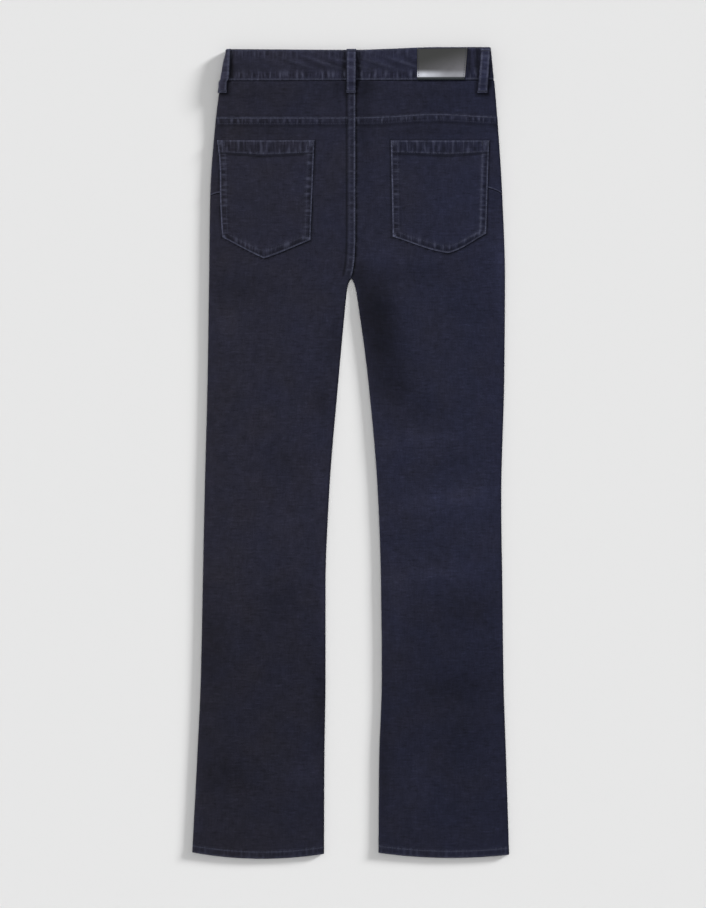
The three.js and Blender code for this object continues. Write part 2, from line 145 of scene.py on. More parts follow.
# Where the two back panels meet, bending in to the crotch.
CENTRE_BACK = table(("y", "x"), [
    (541, 6.5),
    (290, 6.5),
    (262, 5.6),
    (244, 3.4),
    (232.5, 0.7),
])

HEM = {
    "left": {"outer": -532.7, "inner": -534.7, "drop": 7.6},
    "right": {"outer": -535.8, "inner": -533.3, "drop": 5.6},
}

POCKETS = {
    "left": {"top_left": -179.4, "top_right": -48.1, "top": 417.0, "bottom_left": -171.5,
             "bottom_right": -53.5, "corner_left": 287.7, "corner_right": 283.9,
             "point_x": -115.7, "point": 259.3, "bow": 3.4,
             "belly": 0.8},
    "right": {"top_left": 53.4, "top_right": 184.9, "top": 416.8, "bottom_left": 56.1,
              "bottom_right": 180.8, "corner_left": 288.2, "corner_right": 292.4,
              "point_x": 130.6, "point": 266.4, "bow": 0.0,
              "belly": 2.2},
}

# How wide and tall the patch pockets are drawn, and the slope of their lower edge.
POCKET_WIDE, POCKET_TALL = 126, 142
POCKET_SLOPE = 0.93
POCKET_HEM_ROW = 16.6   # row of stitches below a pocket's top edge

PATCH_WIDE, PATCH_TALL = 66, 40
PATCH = {"left": 88.6, "right": 156.0, "lean": 4.0, "bottom": 497.2, "top": 539.3, "thick": 1.4}

# Middle and half width of the belt loops that lie over each yoke, where painted shade darkens the yoke
# beside and under them.
LOOP_SHADES = {"left": ((-168, 5), (0.6, 6.5)), "right": ((0.6, 6.5), (176, 7.2))}

# Largest soft folds of the upper layer: middle, turn in degrees, half length, half width, rise.
FOLDS = table(("x", "y", "turn", "long", "wide", "rise"), [
    (-60, 205, 150, 75, 9, 0.45),
    (62, 212, 25, 80, 10, 0.45),
    (48, 160, 82, 75, 12, -1.1),
    (95, 60, 165, 50, 12, -0.45),
    (-30, 95, 84, 70, 9, -0.5),
    (-120, 222, 172, 60, 10, -0.35),
    (150, 190, 8, 50, 9, -0.3),
    (120, -16, 14, 60, 9, -0.4),
    (135, -62, 6, 80, 13, 0.5),
    (105, -163, 8, 70, 8, 0.4),
    (140, -205, 150, 60, 14, -0.4),
    (135, -316, 8, 60, 16, -0.45),
    (-92, -196, 60, 40, 16, -0.45),
    (-90, -96, 170, 60, 12, 0.3),
    (-150, -330, 95, 90, 14, -0.35),
    (-158, -430, 40, 50, 20, -0.4),
    (70, -420, 88, 90, 12, 0.35),
    (150, -390, 80, 60, 14, -0.35),
    (-60, 470, 175, 50, 7, 0.25),
    (110, 474, 3, 60, 7, -0.25),
])

# Uneven dye and rubbing, with painted shade and light of the folds, seams and loops: middle, half sizes,
# turn in degrees, and how much paler or darker.
DYE_AND_PAINTED_LIGHT = table(("x", "y", "half_x", "half_y", "turn", "paler"), [
    (30, 196, 25, 40, 8, -0.85),
    (46, 140, 25, 42, 8, -0.72),
    (58, 90, 26, 20, 0, -0.42),
    (10, 238, 12, 14, 0, -0.45),
    (93, 57, 38, 18, 0, -0.22),
    (-37, 71, 12, 20, 0, -0.32),
    (-22, 148, 8, 30, 0, -0.30),
    (-148, 218, 48, 17, 0, -0.22),
    (-160, 171, 20, 20, 0, 0.22),
    (40, 264, 20, 13, 0, 0.22),
    (97, 238, 34, 15, 0, -0.20),
    (160, 188, 30, 12, 0, -0.14),
    (203, 251, 10, 55, 0, 0.34),
    (17, 440, 9, 55, 0, -0.34),
    (20, 489, 13, 14, 0, -0.60),
    (-17, 489, 9, 13, 0, -0.50),
    (107, 428, 72, 6, 0, -0.24),
    (-120, 428, 60, 5, 0, -0.20),
    (140, 476, 60, 12, 0, -0.12),
    (-110, 480, 60, 12, 0, -0.14),
    (73, 17, 60, 14, 5, 0.20),
    (127, -16, 45, 8, 14, -0.16),
    (140, -62, 62, 15, 6, 0.32),
    (100, -116, 40, 12, 0, -0.10),
    (107, -163, 58, 8, 8, 0.26),
    (153, -210, 40, 25, 0, -0.26),
    (140, -316, 46, 20, 6, -0.36),
    (150, -383, 30, 32, 0, -0.24),
    (60, -216, 15, 60, 0, 0.20),
    (87, -436, 20, 40, 0, 0.16),
    (44, -410, 7, 60, 0, -0.24),
    (204, -250, 7, 45, 0, 0.30),
    (-91, -196, 25, 25, 0, -0.26),
    (-35, -183, 7, 60, 0, 0.30),
    (-42, -330, 8, 50, 0, -0.30),
    (-160, -430, 36, 25, 0, -0.30),
    (-60, -430, 30, 20, 0, 0.20),
    (-184, -250, 14, 40, 0, -0.20),
    (-206, -440, 7, 60, 0, 0.26),
    (-93, -96, 25, 14, 0, 0.12),
    (-93, -9, 26, 25, 0, -0.15),
    (-43, -36, 8, 25, 0, 0.20),
])

LOOP = {"foot": 480, "top": 539, "clear": 4.4, "bow": 10, "foots": 6}

# ------------------------------------------------------------------ curves and heights


def ease(t):
    t = np.clip(t, 0, 1)
    return t * t * (3 - 2 * t)


def bell(t):
    return np.exp(-np.square(t))


def mix(a, b, t):
    return a + (b - a) * t


def along(rows, column):
    """A function of y that reads a table smoothly between its rows, whose y falls."""
    ys, values = rows["y"][::-1].astype(float), rows[column][::-1].astype(float)
    slopes = np.diff(values) / np.diff(ys)
    before, after = slopes[:-1], slopes[1:]
    total = np.where(before * after > 0, before + after, 1)
    middle = np.where(before * after > 0, 2 * before * after / total, 0)
    tangents = np.concatenate(([slopes[0]], middle, [slopes[-1]]))

    def read(y):
        y = np.clip(y, ys[0], ys[-1])
        i = np.clip(np.searchsorted(ys, y, side="right") - 1, 0, len(ys) - 2)
        span = ys[i + 1] - ys[i]
        t = (y - ys[i]) / span
        lean = t * (1 - t) * (1 - t) * tangents[i] - t * t * (1 - t) * tangents[i + 1]
        return mix(values[i], values[i + 1], ease(t)) + span * lean

    return read


OUTER_EDGES = {side: along(OUTER, side) for side in SIDES}
INNER_EDGES = {side: along(INNER, side) for side in SIDES}
fold_height = along(THICKNESS, "fold")
fold_sag = along(THICKNESS, "sag")
centre_back = along(CENTRE_BACK, "x")


def way_out(side):
    return -1 if side == "left" else 1


def outer_edge(side, y):
    return OUTER_EDGES[side](y)


def inner_edge(side, y):
    curve = CROTCH_CURVE_DEPTH * np.exp(-np.maximum(0, CROTCH_Y - y) / CROTCH_CURVE_REACH)
    return INNER_EDGES[side](y) - way_out(side) * curve


def lift_of(y):
    return WAIST_LIFT * ease((y - 430) / 60)


def under_of(y):
    return lift_of(y) + BAND_PROUD * ease((y - 465) / 28)


def yoke_seam_y(x):
    return 447.7 + 4.8 * bell((x - 115) / 60)


def waist_seam_y(x):
    return BAND_LOW_Y + x / 380


def waist_top_y(x):
    return np.where(x < 0, mix(537.4, 538.2, ease(-x / 160)), mix(537.4, 541, ease(x / 120)))


def hem_y(side, x):
    hem = HEM[side]
    outer, inner = outer_edge(side, HEM_BASE), inner_edge(side, HEM_BASE)
    across = np.clip((x - outer) / (inner - outer), 0, 1)
    return mix(hem["outer"], hem["inner"], across) - hem["drop"] * 4 * across * (1 - across)


def top_of(side, x, y):
    """Top face of the upper layer, before its folds and seams."""
    out = np.abs(outer_edge(side, y) - x)
    from_crotch = np.hypot(x - CROTCH_X, y - CROTCH_Y)
    inn = np.where(y > CROTCH_Y, from_crotch, np.abs(x - inner_edge(side, y)))
    over_fly = bell((x - CENTRE_FRONT_X) / 40) * ease((y - 300) / 80)
    sag = fold_sag(y) * ease(out / SAG_REACH) * ease(inn / SAG_REACH)
    pinch = CROTCH_PINCH * bell(from_crotch / (CROTCH_REACH * math.sqrt(2)))
    return lift_of(y) + fold_height(y) - sag * (1 - over_fly) - pinch


def band_top(x):
    return WAIST_LIFT + BAND_HEIGHT - BAND_SAG * ease((170 - np.abs(x - 10)) / 60)


def turned(x, y, rows, i, half_x, half_y):
    """Bell of row i of a table of turned ovals."""
    angle = math.radians(rows["turn"][i])
    dx, dy = x - rows["x"][i], y - rows["y"][i]
    u = dx * math.cos(angle) + dy * math.sin(angle)
    v = dy * math.cos(angle) - dx * math.sin(angle)
    return bell(u / half_x) * bell(v / half_y)


def soft_folds(x, y):
    rise = 0.12 * np.sin(x / 23 + 1.7 * np.sin(y / 61)) * np.sin(y / 37 + 0.6)
    for i in range(len(FOLDS["x"])):
        rise = rise + FOLDS["rise"][i] * turned(x, y, FOLDS, i, FOLDS["long"][i], FOLDS["wide"][i])
    return rise


def dye_and_painted_light_at(x, y):
    """Share of the plain dye's brightness, with painted shade and light of the folds, seams and loops, and
    darker on the lower legs.
    """
    paler = np.zeros(np.broadcast(x, y).shape)
    for i in range(len(DYE_AND_PAINTED_LIGHT["x"])):
        paler = paler + DYE_AND_PAINTED_LIGHT["paler"][i] * turned(x, y, DYE_AND_PAINTED_LIGHT, i, DYE_AND_PAINTED_LIGHT["half_x"][i], DYE_AND_PAINTED_LIGHT["half_y"][i])
    return np.exp(0.95 * paler - 0.24 * ease((-120 - y) / 170))


def ripple(s, length, seed):
    """Uneven waves of about that length, from -1 to 1."""
    bend = 1.1 * np.sin(s / (2.3 * length) + seed) + 0.7 * np.sin(s / (3.7 * length) + 2.1 * seed)
    height = 0.62 + 0.38 * np.sin(s / (1.9 * length) + 1.3 * seed)
    return np.sin(2 * math.pi * s / length + bend) * height


def plateau(d, width):
    """1 from d = 0 to width, falling off on both sides."""
    edge = 0.7
    return ease(d / edge + 0.5) * ease((width - d) / edge + 0.5)


def seam_relief(side, x, y):
    """Height, rubbing and pucker shares that the centre and yoke seams give the back."""
    below = yoke_seam_y(x) - y
    on_seam = plateau(below, FELL_WIDTH)
    rows = bell((below - ROW_NEAR) / 0.9) + bell((below - ROW_FAR) / 0.9)
    height = 0.55 * on_seam - 0.2 * rows * on_seam - 0.3 * bell((below + 1.2) / 1.2)
    wear = 0.6 * bell((below - 0.7) / 0.8)
    patchy = 0.45 + 0.55 * ease(0.5 + 0.9 * ripple(x, 41, 0.8))
    pucker_x = patchy * bell((below - 5.2) / 3.6)
    above_crotch = ease((y - CROTCH_Y) / 8)
    seam = centre_back(y)
    if side == "left":
        inside = seam - x
        on_fell = plateau(inside, FELL_WIDTH) * above_crotch
        lines = bell((inside - ROW_NEAR) / 0.9) + bell((inside - ROW_FAR) / 0.9)
        height = np.maximum(height, 0) * (1 - on_fell) + np.minimum(height, 0) + 0.75 * on_fell
        height = height - 0.2 * lines * on_fell
        fell_wear = 0.85 * bell((inside - 1.2) / 1.3) + 0.12 * bell((inside - ROW_FAR) / 1.8)
        wear = np.maximum(wear * (1 - 0.6 * on_fell), fell_wear * above_crotch)
        pucker_y = 0.5 * bell((inside - 5.4) / 3.6) * above_crotch
        pucker_x = pucker_x * (1 - on_fell)
    else:
        outside = x - seam
        height = height - 0.45 * bell(outside / 2.6) * above_crotch
        pucker_y = 0.3 * bell(outside / 4) * above_crotch
    return height, wear, pucker_x, pucker_y


def hem_relief(side, x, y):
    up = y - hem_y(side, x)
    on_hem = ease((HEM_DEPTH - up) / 1.2)
    height = on_hem * (0.35 - 0.25 * bell((up - HEM_ROW) / 0.9))
    height = height + on_hem * 0.16 * ripple(x + 0.8 * up, 9, 1.2 if side == "left" else 4.1)
    height = height - 0.5 * bell(up / 0.9)
    wear = 0.30 * bell((up - 0.8) / 1.4) + 0.30 * bell((up - HEM_ROW) / 1.0)
    return height, wear, 0.3 * on_hem


def back_relief(side, x, y):
    """Height above the smooth upper layer, and the shares that the finish reads."""
    height, wear, pucker_x, pucker_y = seam_relief(side, x, y)
    hem_height, hem_wear, hem_pucker = hem_relief(side, x, y)
    height = height + soft_folds(x, y) + hem_height
    height = height + 0.10 * pucker_x * ripple(x, 6.4, 2.0) + 0.16 * pucker_y * ripple(y, 7.5, 0.4)
    shares = {
        "wear": np.clip(wear + hem_wear, 0, 1),
        "pucker_x": np.clip(pucker_x + hem_pucker, 0, 1),
        "pucker_y": np.clip(pucker_y, 0, 1),
        "tone": dye_and_painted_light_at(x, y) * seam_shade(side, x, y),
    }
    return height, shares


def seam_shade(side, x, y):
    """Painted shade: dark lines in the grooves beside the seams, round the pockets and under the loops."""
    below = yoke_seam_y(x) - y
    dark = 0.35 * bell((below - FELL_WIDTH - 1.2) / 2.2) + 0.25 * bell((below + 1.3) / 1.2)
    off_seam = np.abs(x - centre_back(y))
    above_crotch = ease((y - CROTCH_Y) / 6)
    if side == "left":
        dark = dark + 0.9 * bell((off_seam - FELL_WIDTH - 0.9) / 1.5) * above_crotch
    else:
        dark = dark + 1.2 * bell((off_seam - 0.6) / 2.0) * above_crotch
    across, down = pocket_shares(side, x, y)
    left, right, top, bottom = pocket_edges(across, down)
    outside = np.maximum(np.maximum(-left, -right), np.maximum(-top, -bottom))
    ring = np.where(outside > 0, bell(outside / 1.7), 0)
    strength = np.where(-top > np.maximum(-left, np.maximum(-right, -bottom)), 0.25,
                        np.where(-bottom > np.maximum(-left, -right), 1.2, 0.9))
    dark = dark + ring * strength
    for middle, half in LOOP_SHADES[side]:
        near = ease((half + 5.5 - np.abs(x - middle)) / 5.5)
        dark = dark + 0.75 * near * ease((y - LOOP["foot"] + 7) / 5) * ease((541 - y) / 4)
    return np.exp(-dark)


def pocket_shares(side, x, y):
    """Shares across and down a pocket for a plan position: the other way to pocket_points."""
    down = (POCKETS[side]["top"] - y) / POCKET_TALL
    for _ in range(3):
        left, right = pocket_sides(side, np.clip(down, 0, 1))
        across = (x - left) / (right - left)
        low = pocket_low(side, np.clip(across, 0, 1))
        down = (POCKETS[side]["top"] - y) / (POCKETS[side]["top"] - low)
    return across, down


def upper_face(side, x, y):
    return top_of(side, x, y) + back_relief(side, x, y)[0]


# ------------------------------------------------------------------ sections of a laid tube


def fold_radius(side, y, edge, way):
    return (top_of(side, edge - way * 3, y) - under_of(y)) / 2


def turn(side, y, edge, way, run, depth):
    """x and z where the cloth turns over a folded edge. way is the x direction that leads off
    the cloth, run the distance past the start of the turn, depth the distance inside the skin."""
    under = under_of(y)
    radius = fold_radius(side, y, edge, way)
    start = edge - way * radius
    before = np.minimum(run, 0)
    after = np.maximum(run - math.pi * radius, 0)
    angle = np.clip(run / radius, 0, math.pi)
    inside = radius - depth
    x = start + way * (before + inside * np.sin(angle) - after)
    flat_z = top_of(side, start + way * before, y) - depth
    z = np.where(run <= 0, flat_z, under + radius + inside * np.cos(angle))
    return x, z


def inseam_run(side, y):
    """How far past the start of the inner fold the inseam lies."""
    edge = inner_edge(side, y)
    radius = fold_radius(side, y, edge, -way_out(side))
    down = CROTCH_Y - y
    angle = math.pi / 2 * (min(1, down / 10) + ease((down - 10) / 35))
    return angle * radius + (INSEAM_IN - radius) * ease((down - 45) / 30)


def seam_gap(y):
    return GAP + 0.6 * bell((CROTCH_Y - y) / 45)


ARC_STEPS = 10
TOP_COLUMNS = 66
INNER_COLUMNS = 18
INNER_FLAT = 15


def back_section(side, base, y_of, wall):
    """Outer and inner points of one row of a back piece, and the shares its finish reads. It runs
    from the side seam underneath, over the outer fold, and across to the centre or the inseam."""
    way = way_out(side)
    edge = outer_edge(side, base)
    radius = fold_radius(side, base, edge, way)
    seam = math.pi * radius + SIDE_SEAM_IN - radius
    outer_runs = np.concatenate((
        np.linspace(seam, math.pi * radius, 3)[:-1], np.linspace(math.pi * radius, 0, ARC_STEPS)))
    inner_way = -way
    if base >= CROTCH_Y:
        inner_at = centre_back(base)
        inner_runs = np.linspace(-INNER_FLAT, 0, INNER_COLUMNS) - GAP / 2
        inner_x = inner_at + inner_way * inner_runs
    else:
        inner_at = inner_edge(side, base)
        end = inseam_run(side, base) - seam_gap(base) / 2
        inner_runs = np.linspace(-INNER_FLAT, end, INNER_COLUMNS)
        inner_x, _ = turn(side, base, inner_at, inner_way, inner_runs, 0)
    top_x = np.linspace(edge - way * radius, inner_x[0], TOP_COLUMNS + 1)[1:-1]
    outer_x, _ = turn(side, base, edge, way, outer_runs, 0)
    xs = np.concatenate((outer_x, top_x, inner_x))
    ys = y_of(xs)
    height, shares = back_relief(side, xs, ys)
    turn_share = np.concatenate((
        np.clip(1 - outer_runs / (math.pi * radius * 0.6), 0, 1), np.ones(len(top_x)),
        np.clip(1 - np.maximum(inner_runs, 0) / (math.pi * radius * 0.6), 0, 1)))
    height = height * turn_share
    points = []
    for depth in (-height, wall - height):
        a, b = len(outer_x), len(outer_x) + len(top_x)
        x0, z0 = turn(side, base, edge, way, outer_runs, depth[:a])
        z1 = top_of(side, top_x, base) - depth[a:b]
        if base >= CROTCH_Y:
            x2, z2 = inner_x, top_of(side, inner_x, base) - depth[b:]
        else:
            x2, z2 = turn(side, base, inner_at, inner_way, inner_runs, depth[b:])
        x = np.concatenate((x0, top_x, x2))
        z = np.concatenate((z0, z1, z2))
        points.append(np.stack((x, ys, z), axis=1))
    return points[0], points[1], shares


def spaced(stretches):
    """Values through stretches of (from, to, step), each end once."""
    values = [stretches[0][0]]
    for start, end, step in stretches:
        count = max(1, round(abs(end - start) / step))
        values.extend(np.linspace(start, end, count + 1)[1:])
    return np.array(values)


def build_rows(stations, section, *fixed_values):
    """Grids of outer and inner points and of the shares, a row for each station."""
    rows = [section(*fixed_values, *station) for station in stations]
    outer = np.array([row[0] for row in rows])
    inner = np.array([row[1] for row in rows])
    shares = {key: np.array([row[2][key] for row in rows]) for key in rows[0][2]}
    return outer, inner, shares


# ------------------------------------------------------------------ meshes


def new_object(name, verts, faces):
    mesh = bpy.data.meshes.new(name)
    mesh.from_pydata(verts.tolist() if hasattr(verts, "tolist") else verts, [], faces)
    mesh.validate()
    mesh.update()
    piece = bpy.data.objects.new(name, mesh)
    bpy.context.scene.collection.objects.link(piece)
    mesh.shade_smooth()
    return piece


def cloth_mesh(name, outer, inner, shares=None):
    """A closed sheet from two grids of points in millimetres: outer face, inner face, four edges."""
    count, width = outer.shape[:2]
    place = np.array((0, SHIFT_Y, 0))
    verts = (np.concatenate((outer.reshape(-1, 3), inner.reshape(-1, 3))) + place) * MM
    size = count * width
    index = np.arange(size).reshape(count, width)
    a, b = index[:-1, :-1].ravel(), index[:-1, 1:].ravel()
    c, d = index[1:, 1:].ravel(), index[1:, :-1].ravel()
    faces = [np.stack((a, b, c, d), 1), np.stack((a, d, c, b), 1) + size]
    rim = np.concatenate((index[0, ::-1], index[1:, 0], index[-1, 1:], index[-2:0:-1, -1]))
    after = np.roll(rim, -1)
    faces.append(np.stack((rim, after, after + size, rim + size), 1))
    faces = np.concatenate(faces)
    corners = verts[faces]
    volume = np.einsum("ij,ij->i", corners[:, 0], np.cross(corners[:, 1], corners[:, 2])).sum()
    volume += np.einsum("ij,ij->i", corners[:, 0], np.cross(corners[:, 2], corners[:, 3])).sum()
    if volume < 0:
        faces = faces[:, ::-1]
    piece = new_object(name, verts, faces.tolist())
    add_cloth_layers(piece, outer, shares or {})
    return piece


def add_cloth_layers(piece, outer, shares):
    """A UV map that runs along the cloth, in metres, and the shares as attributes."""
    steps = np.linalg.norm(np.diff(outer, axis=1), axis=2)
    u = np.concatenate((np.zeros((outer.shape[0], 1)), np.cumsum(steps, axis=1)), axis=1)
    u = u - u.mean(axis=1, keepdims=True) + outer[..., 0].mean()
    uv = np.stack((u, outer[..., 1]), axis=2).reshape(-1, 2) * MM
    uv = np.concatenate((uv, uv))
    mesh = piece.data
    loops = np.zeros(len(mesh.loops), dtype=np.int32)
    mesh.loops.foreach_get("vertex_index", loops)
    layer = mesh.uv_layers.new(name="cloth")
    layer.data.foreach_set("uv", uv[loops].ravel())
    blank = {"wear": 0.0, "pucker_x": 0.0, "pucker_y": 0.0, "tone": 1.0}
    for key, value in blank.items():
        grid = shares.get(key, np.full(outer.shape[:2], value))
        flat = np.broadcast_to(grid, outer.shape[:2]).ravel().astype(np.float32)
        attribute = mesh.attributes.new(key, "FLOAT", "POINT")
        attribute.data.foreach_set("value", np.concatenate((flat, flat)))


# ------------------------------------------------------------------ finishes


def linear(colour):
    """sRGB hex to linear red, green and blue."""
    parts = [int(colour[i:i + 2], 16) / 255 for i in (1, 3, 5)]
    return tuple(c / 12.92 if c <= 0.04045 else ((c + 0.055) / 1.055) ** 2.4 for c in parts)


def node(tree, kind, settings=None, inputs=None):
    """Adds a node. settings are its own properties; inputs are values, or sockets to link."""
    made = tree.nodes.new(kind)
    for key, value in (settings or {}).items():
        setattr(made, key, value)
    for key, value in (inputs or {}).items():
        if isinstance(value, bpy.types.NodeSocket):
            tree.links.new(value, made.inputs[key])
        else:
            made.inputs[key].default_value = value
    return made


def new_material(name, settings):
    """A material with one shader, whose plain values are set on its sockets."""
    material = bpy.data.materials.new(name)
    material.use_nodes = True
    tree = material.node_tree
    tree.nodes.clear()
    shader = node(tree, "ShaderNodeBsdfPrincipled", inputs=settings)
    output = node(tree, "ShaderNodeOutputMaterial")
    tree.links.new(shader.outputs["BSDF"], output.inputs["Surface"])
    return material, tree, shader


def set_finish(piece, material):
    piece.data.materials.clear()
    piece.data.materials.append(material)


def seat(piece, material, nodes=()):
    """Puts a finished piece on the frame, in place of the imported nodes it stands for."""
    set_finish(piece, material)
    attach(piece, "root")
    if nodes:
        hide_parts(*nodes)


def axes_of(tree, vector):
    return node(tree, "ShaderNodeSeparateXYZ", inputs={"Vector": vector}).outputs


def denim(colours):
    """Dark navy stretch denim, a 3/1 twill of cotton and elastane, garment dyed. The eye sees a
    matt, nearly black blue with soft cloudy mottling and paler, rubbed seam edges. Painted shade
    and light of folds, grooves and pucker troughs are multiplied into its colour."""
    if "garment-dyed twill denim" in bpy.data.materials:
        return bpy.data.materials["garment-dyed twill denim"]
    material, tree, shader = new_material("garment-dyed twill denim", {
        "Roughness": 0.86, "Specular IOR Level": 0.12, "Sheen Weight": 0.06,
        "Sheen Roughness": 0.45, "Sheen Tint": (*linear("#8f95b4"), 1.0)})
    place = node(tree, "ShaderNodeTexCoord").outputs["Object"]
    cloth_uv = node(tree, "ShaderNodeUVMap", {"uv_map": "cloth"}).outputs["UV"]
    share = {key: node(tree, "ShaderNodeAttribute", {"attribute_name": key}).outputs["Fac"]
             for key in ("wear", "pucker_x", "pucker_y", "tone")}

    def noise(vector, scale, detail, roughness=0.5):
        made = node(tree, "ShaderNodeTexNoise", inputs={
            "Vector": vector, "Scale": scale, "Detail": detail, "Roughness": roughness})
        return made.outputs["Fac"]

    def scaled(vector, scale):
        return node(tree, "ShaderNodeMapping", {"vector_type": "POINT"},
                    {"Vector": vector, "Scale": scale}).outputs["Vector"]

    def math_node(operation, a, b):
        return node(tree, "ShaderNodeMath", {"operation": operation}, {0: a, 1: b}).outputs[0]

    def product(*values):
        return functools.reduce(lambda a, b: math_node("MULTIPLY", a, b), values)

    def span(value, low, high, to_low, to_high):
        return node(tree, "ShaderNodeMapRange", inputs={
            "Value": value, "From Min": low, "From Max": high,
            "To Min": to_low, "To Max": to_high}).outputs["Result"]

    # Clouds of 60 mm and blotches of 12 mm, then streaks about 2 mm wide: 17 mm long up the
    # cloth, 9 mm across it, and thicker slubs of 13 mm.
    clouds = span(noise(place, 16, 2), 0.3, 0.7, 0.96, 1.04)
    blotches = span(noise(scaled(cloth_uv, (95, 75, 1)), 1, 3, 0.6), 0.3, 0.7, 0.86, 1.14)
    warp = span(noise(scaled(cloth_uv, (420, 60, 1)), 1, 2, 0.7), 0.3, 0.7, 0.88, 1.12)
    weft = span(noise(scaled(cloth_uv, (110, 480, 1)), 1, 2, 0.7), 0.3, 0.7, 0.90, 1.10)
    slubs = noise(scaled(cloth_uv, (75, 360, 1)), 1, 1)
    slubs = math_node("ADD", span(slubs, 0.60, 0.70, 1.0, 1.22), span(slubs, 0.40, 0.30, 0.0, -0.22))
    # The tone share brings painted shade and light of folds, seams and edges along with the dye's own
    # variation.
    shade = product(product(clouds, blotches, share["tone"]), product(slubs, product(warp, weft)))
    # Real yarns lie 0.4 mm apart, too fine to show, so they are drawn at 0.7 mm.
    yarns = span(noise(scaled(cloth_uv, (1500, 450, 1)), 1, 2, 0.6), 0.3, 0.7, 0.80, 1.20)
    # Twill ribs climb at 63 degrees. Real ones are 0.9 mm apart and are drawn at 1.4 mm.
    twill = node(tree, "ShaderNodeTexWave", {"bands_direction": "X", "wave_profile": "SIN"}, {
        "Vector": node(tree, "ShaderNodeMapping", inputs={
            "Vector": cloth_uv, "Rotation": (0, 0, math.radians(27))}).outputs["Vector"],
        "Scale": 225.0, "Distortion": 1.4, "Detail": 1.0, "Detail Scale": 2.0}).outputs["Fac"]
    shade = product(shade, product(yarns, span(twill, 0, 1, 0.90, 1.10)))

    # Puckers beside a seam run across it: about 6 mm apart, and rubbed pale on their crests, with painted
    # shade in their troughs.
    wave_x = noise(scaled(place, (230, 34, 1)), 1, 2)
    wave_y = noise(scaled(place, (34, 190, 1)), 1, 2)

    def puckered(for_x, for_y):
        return math_node("ADD", product(for_x, share["pucker_x"]), product(for_y, share["pucker_y"]))

    waves = puckered(wave_x, wave_y)
    crests = product(puckered(*(span(wave, 0.52, 0.64, 0, 1) for wave in (wave_x, wave_y))), 0.34)
    painted_trough_shade = puckered(*(span(wave, 0.50, 0.38, 0, 1) for wave in (wave_x, wave_y)))
    shade = product(shade, span(painted_trough_shade, 0, 1, 1.0, 0.52))
    broken = span(noise(place, 260, 2, 0.7), 0.35, 0.65, 0.25, 1.0)
    rubbed = math_node("ADD", product(share["wear"], broken), crests)
    rubbed = node(tree, "ShaderNodeClamp", inputs={"Value": rubbed}).outputs["Result"]

    hue = node(tree, "ShaderNodeMix", {"data_type": "RGBA"}, {
        "Factor": span(math_node("ADD", axes_of(tree, place)["X"], product(noise(place, 22, 2), 0.45)),
                       -0.05, 0.42, 0, 1),
        "A": (*colours.denim, 1.0), "B": (*colours.denim_blue, 1.0)}).outputs["Result"]
    dyed = node(tree, "ShaderNodeMix", {"data_type": "RGBA", "blend_type": "MULTIPLY"}, {
        "Factor": 1.0, "A": hue, "B": node(tree, "ShaderNodeCombineColor", inputs={
            "Red": shade, "Green": shade, "Blue": shade}).outputs["Color"]}).outputs["Result"]
    base = node(tree, "ShaderNodeMix", {"data_type": "RGBA"}, {
        "Factor": rubbed, "A": dyed, "B": (*colours.worn, 1.0)}).outputs["Result"]
    tree.links.new(base, shader.inputs["Base Color"])

    fine = math_node("ADD", product(twill, 0.6), product(yarns, 0.8))
    weave_bump = node(tree, "ShaderNodeBump", inputs={
        "Strength": 0.35, "Distance": 0.0004, "Height": fine}).outputs["Normal"]
    pucker_bump = node(tree, "ShaderNodeBump", inputs={
        "Strength": 0.8, "Distance": 0.0028, "Height": waves, "Normal": weave_bump})
    tree.links.new(pucker_bump.outputs["Normal"], shader.inputs["Normal"])
    return material


def thread(colours):
    """Core-spun polyester sewing thread, tone on tone: a little paler and shinier than the denim."""
    name = "core-spun polyester thread"
    if name in bpy.data.materials:
        return bpy.data.materials[name]
    material, tree, shader = new_material(name, {"Roughness": 0.6, "Specular IOR Level": 0.3})
    place = node(tree, "ShaderNodeTexCoord").outputs["Object"]
    uneven = node(tree, "ShaderNodeTexNoise", inputs={"Vector": place, "Scale": 130.0, "Detail": 2.0})
    colour = node(tree, "ShaderNodeMix", {"data_type": "RGBA"}, {
        "Factor": uneven.outputs["Fac"], "A": (*colours.thread_dark, 1.0),
        "B": (*colours.thread, 1.0)})
    tree.links.new(colour.outputs["Result"], shader.inputs["Base Color"])
    return material


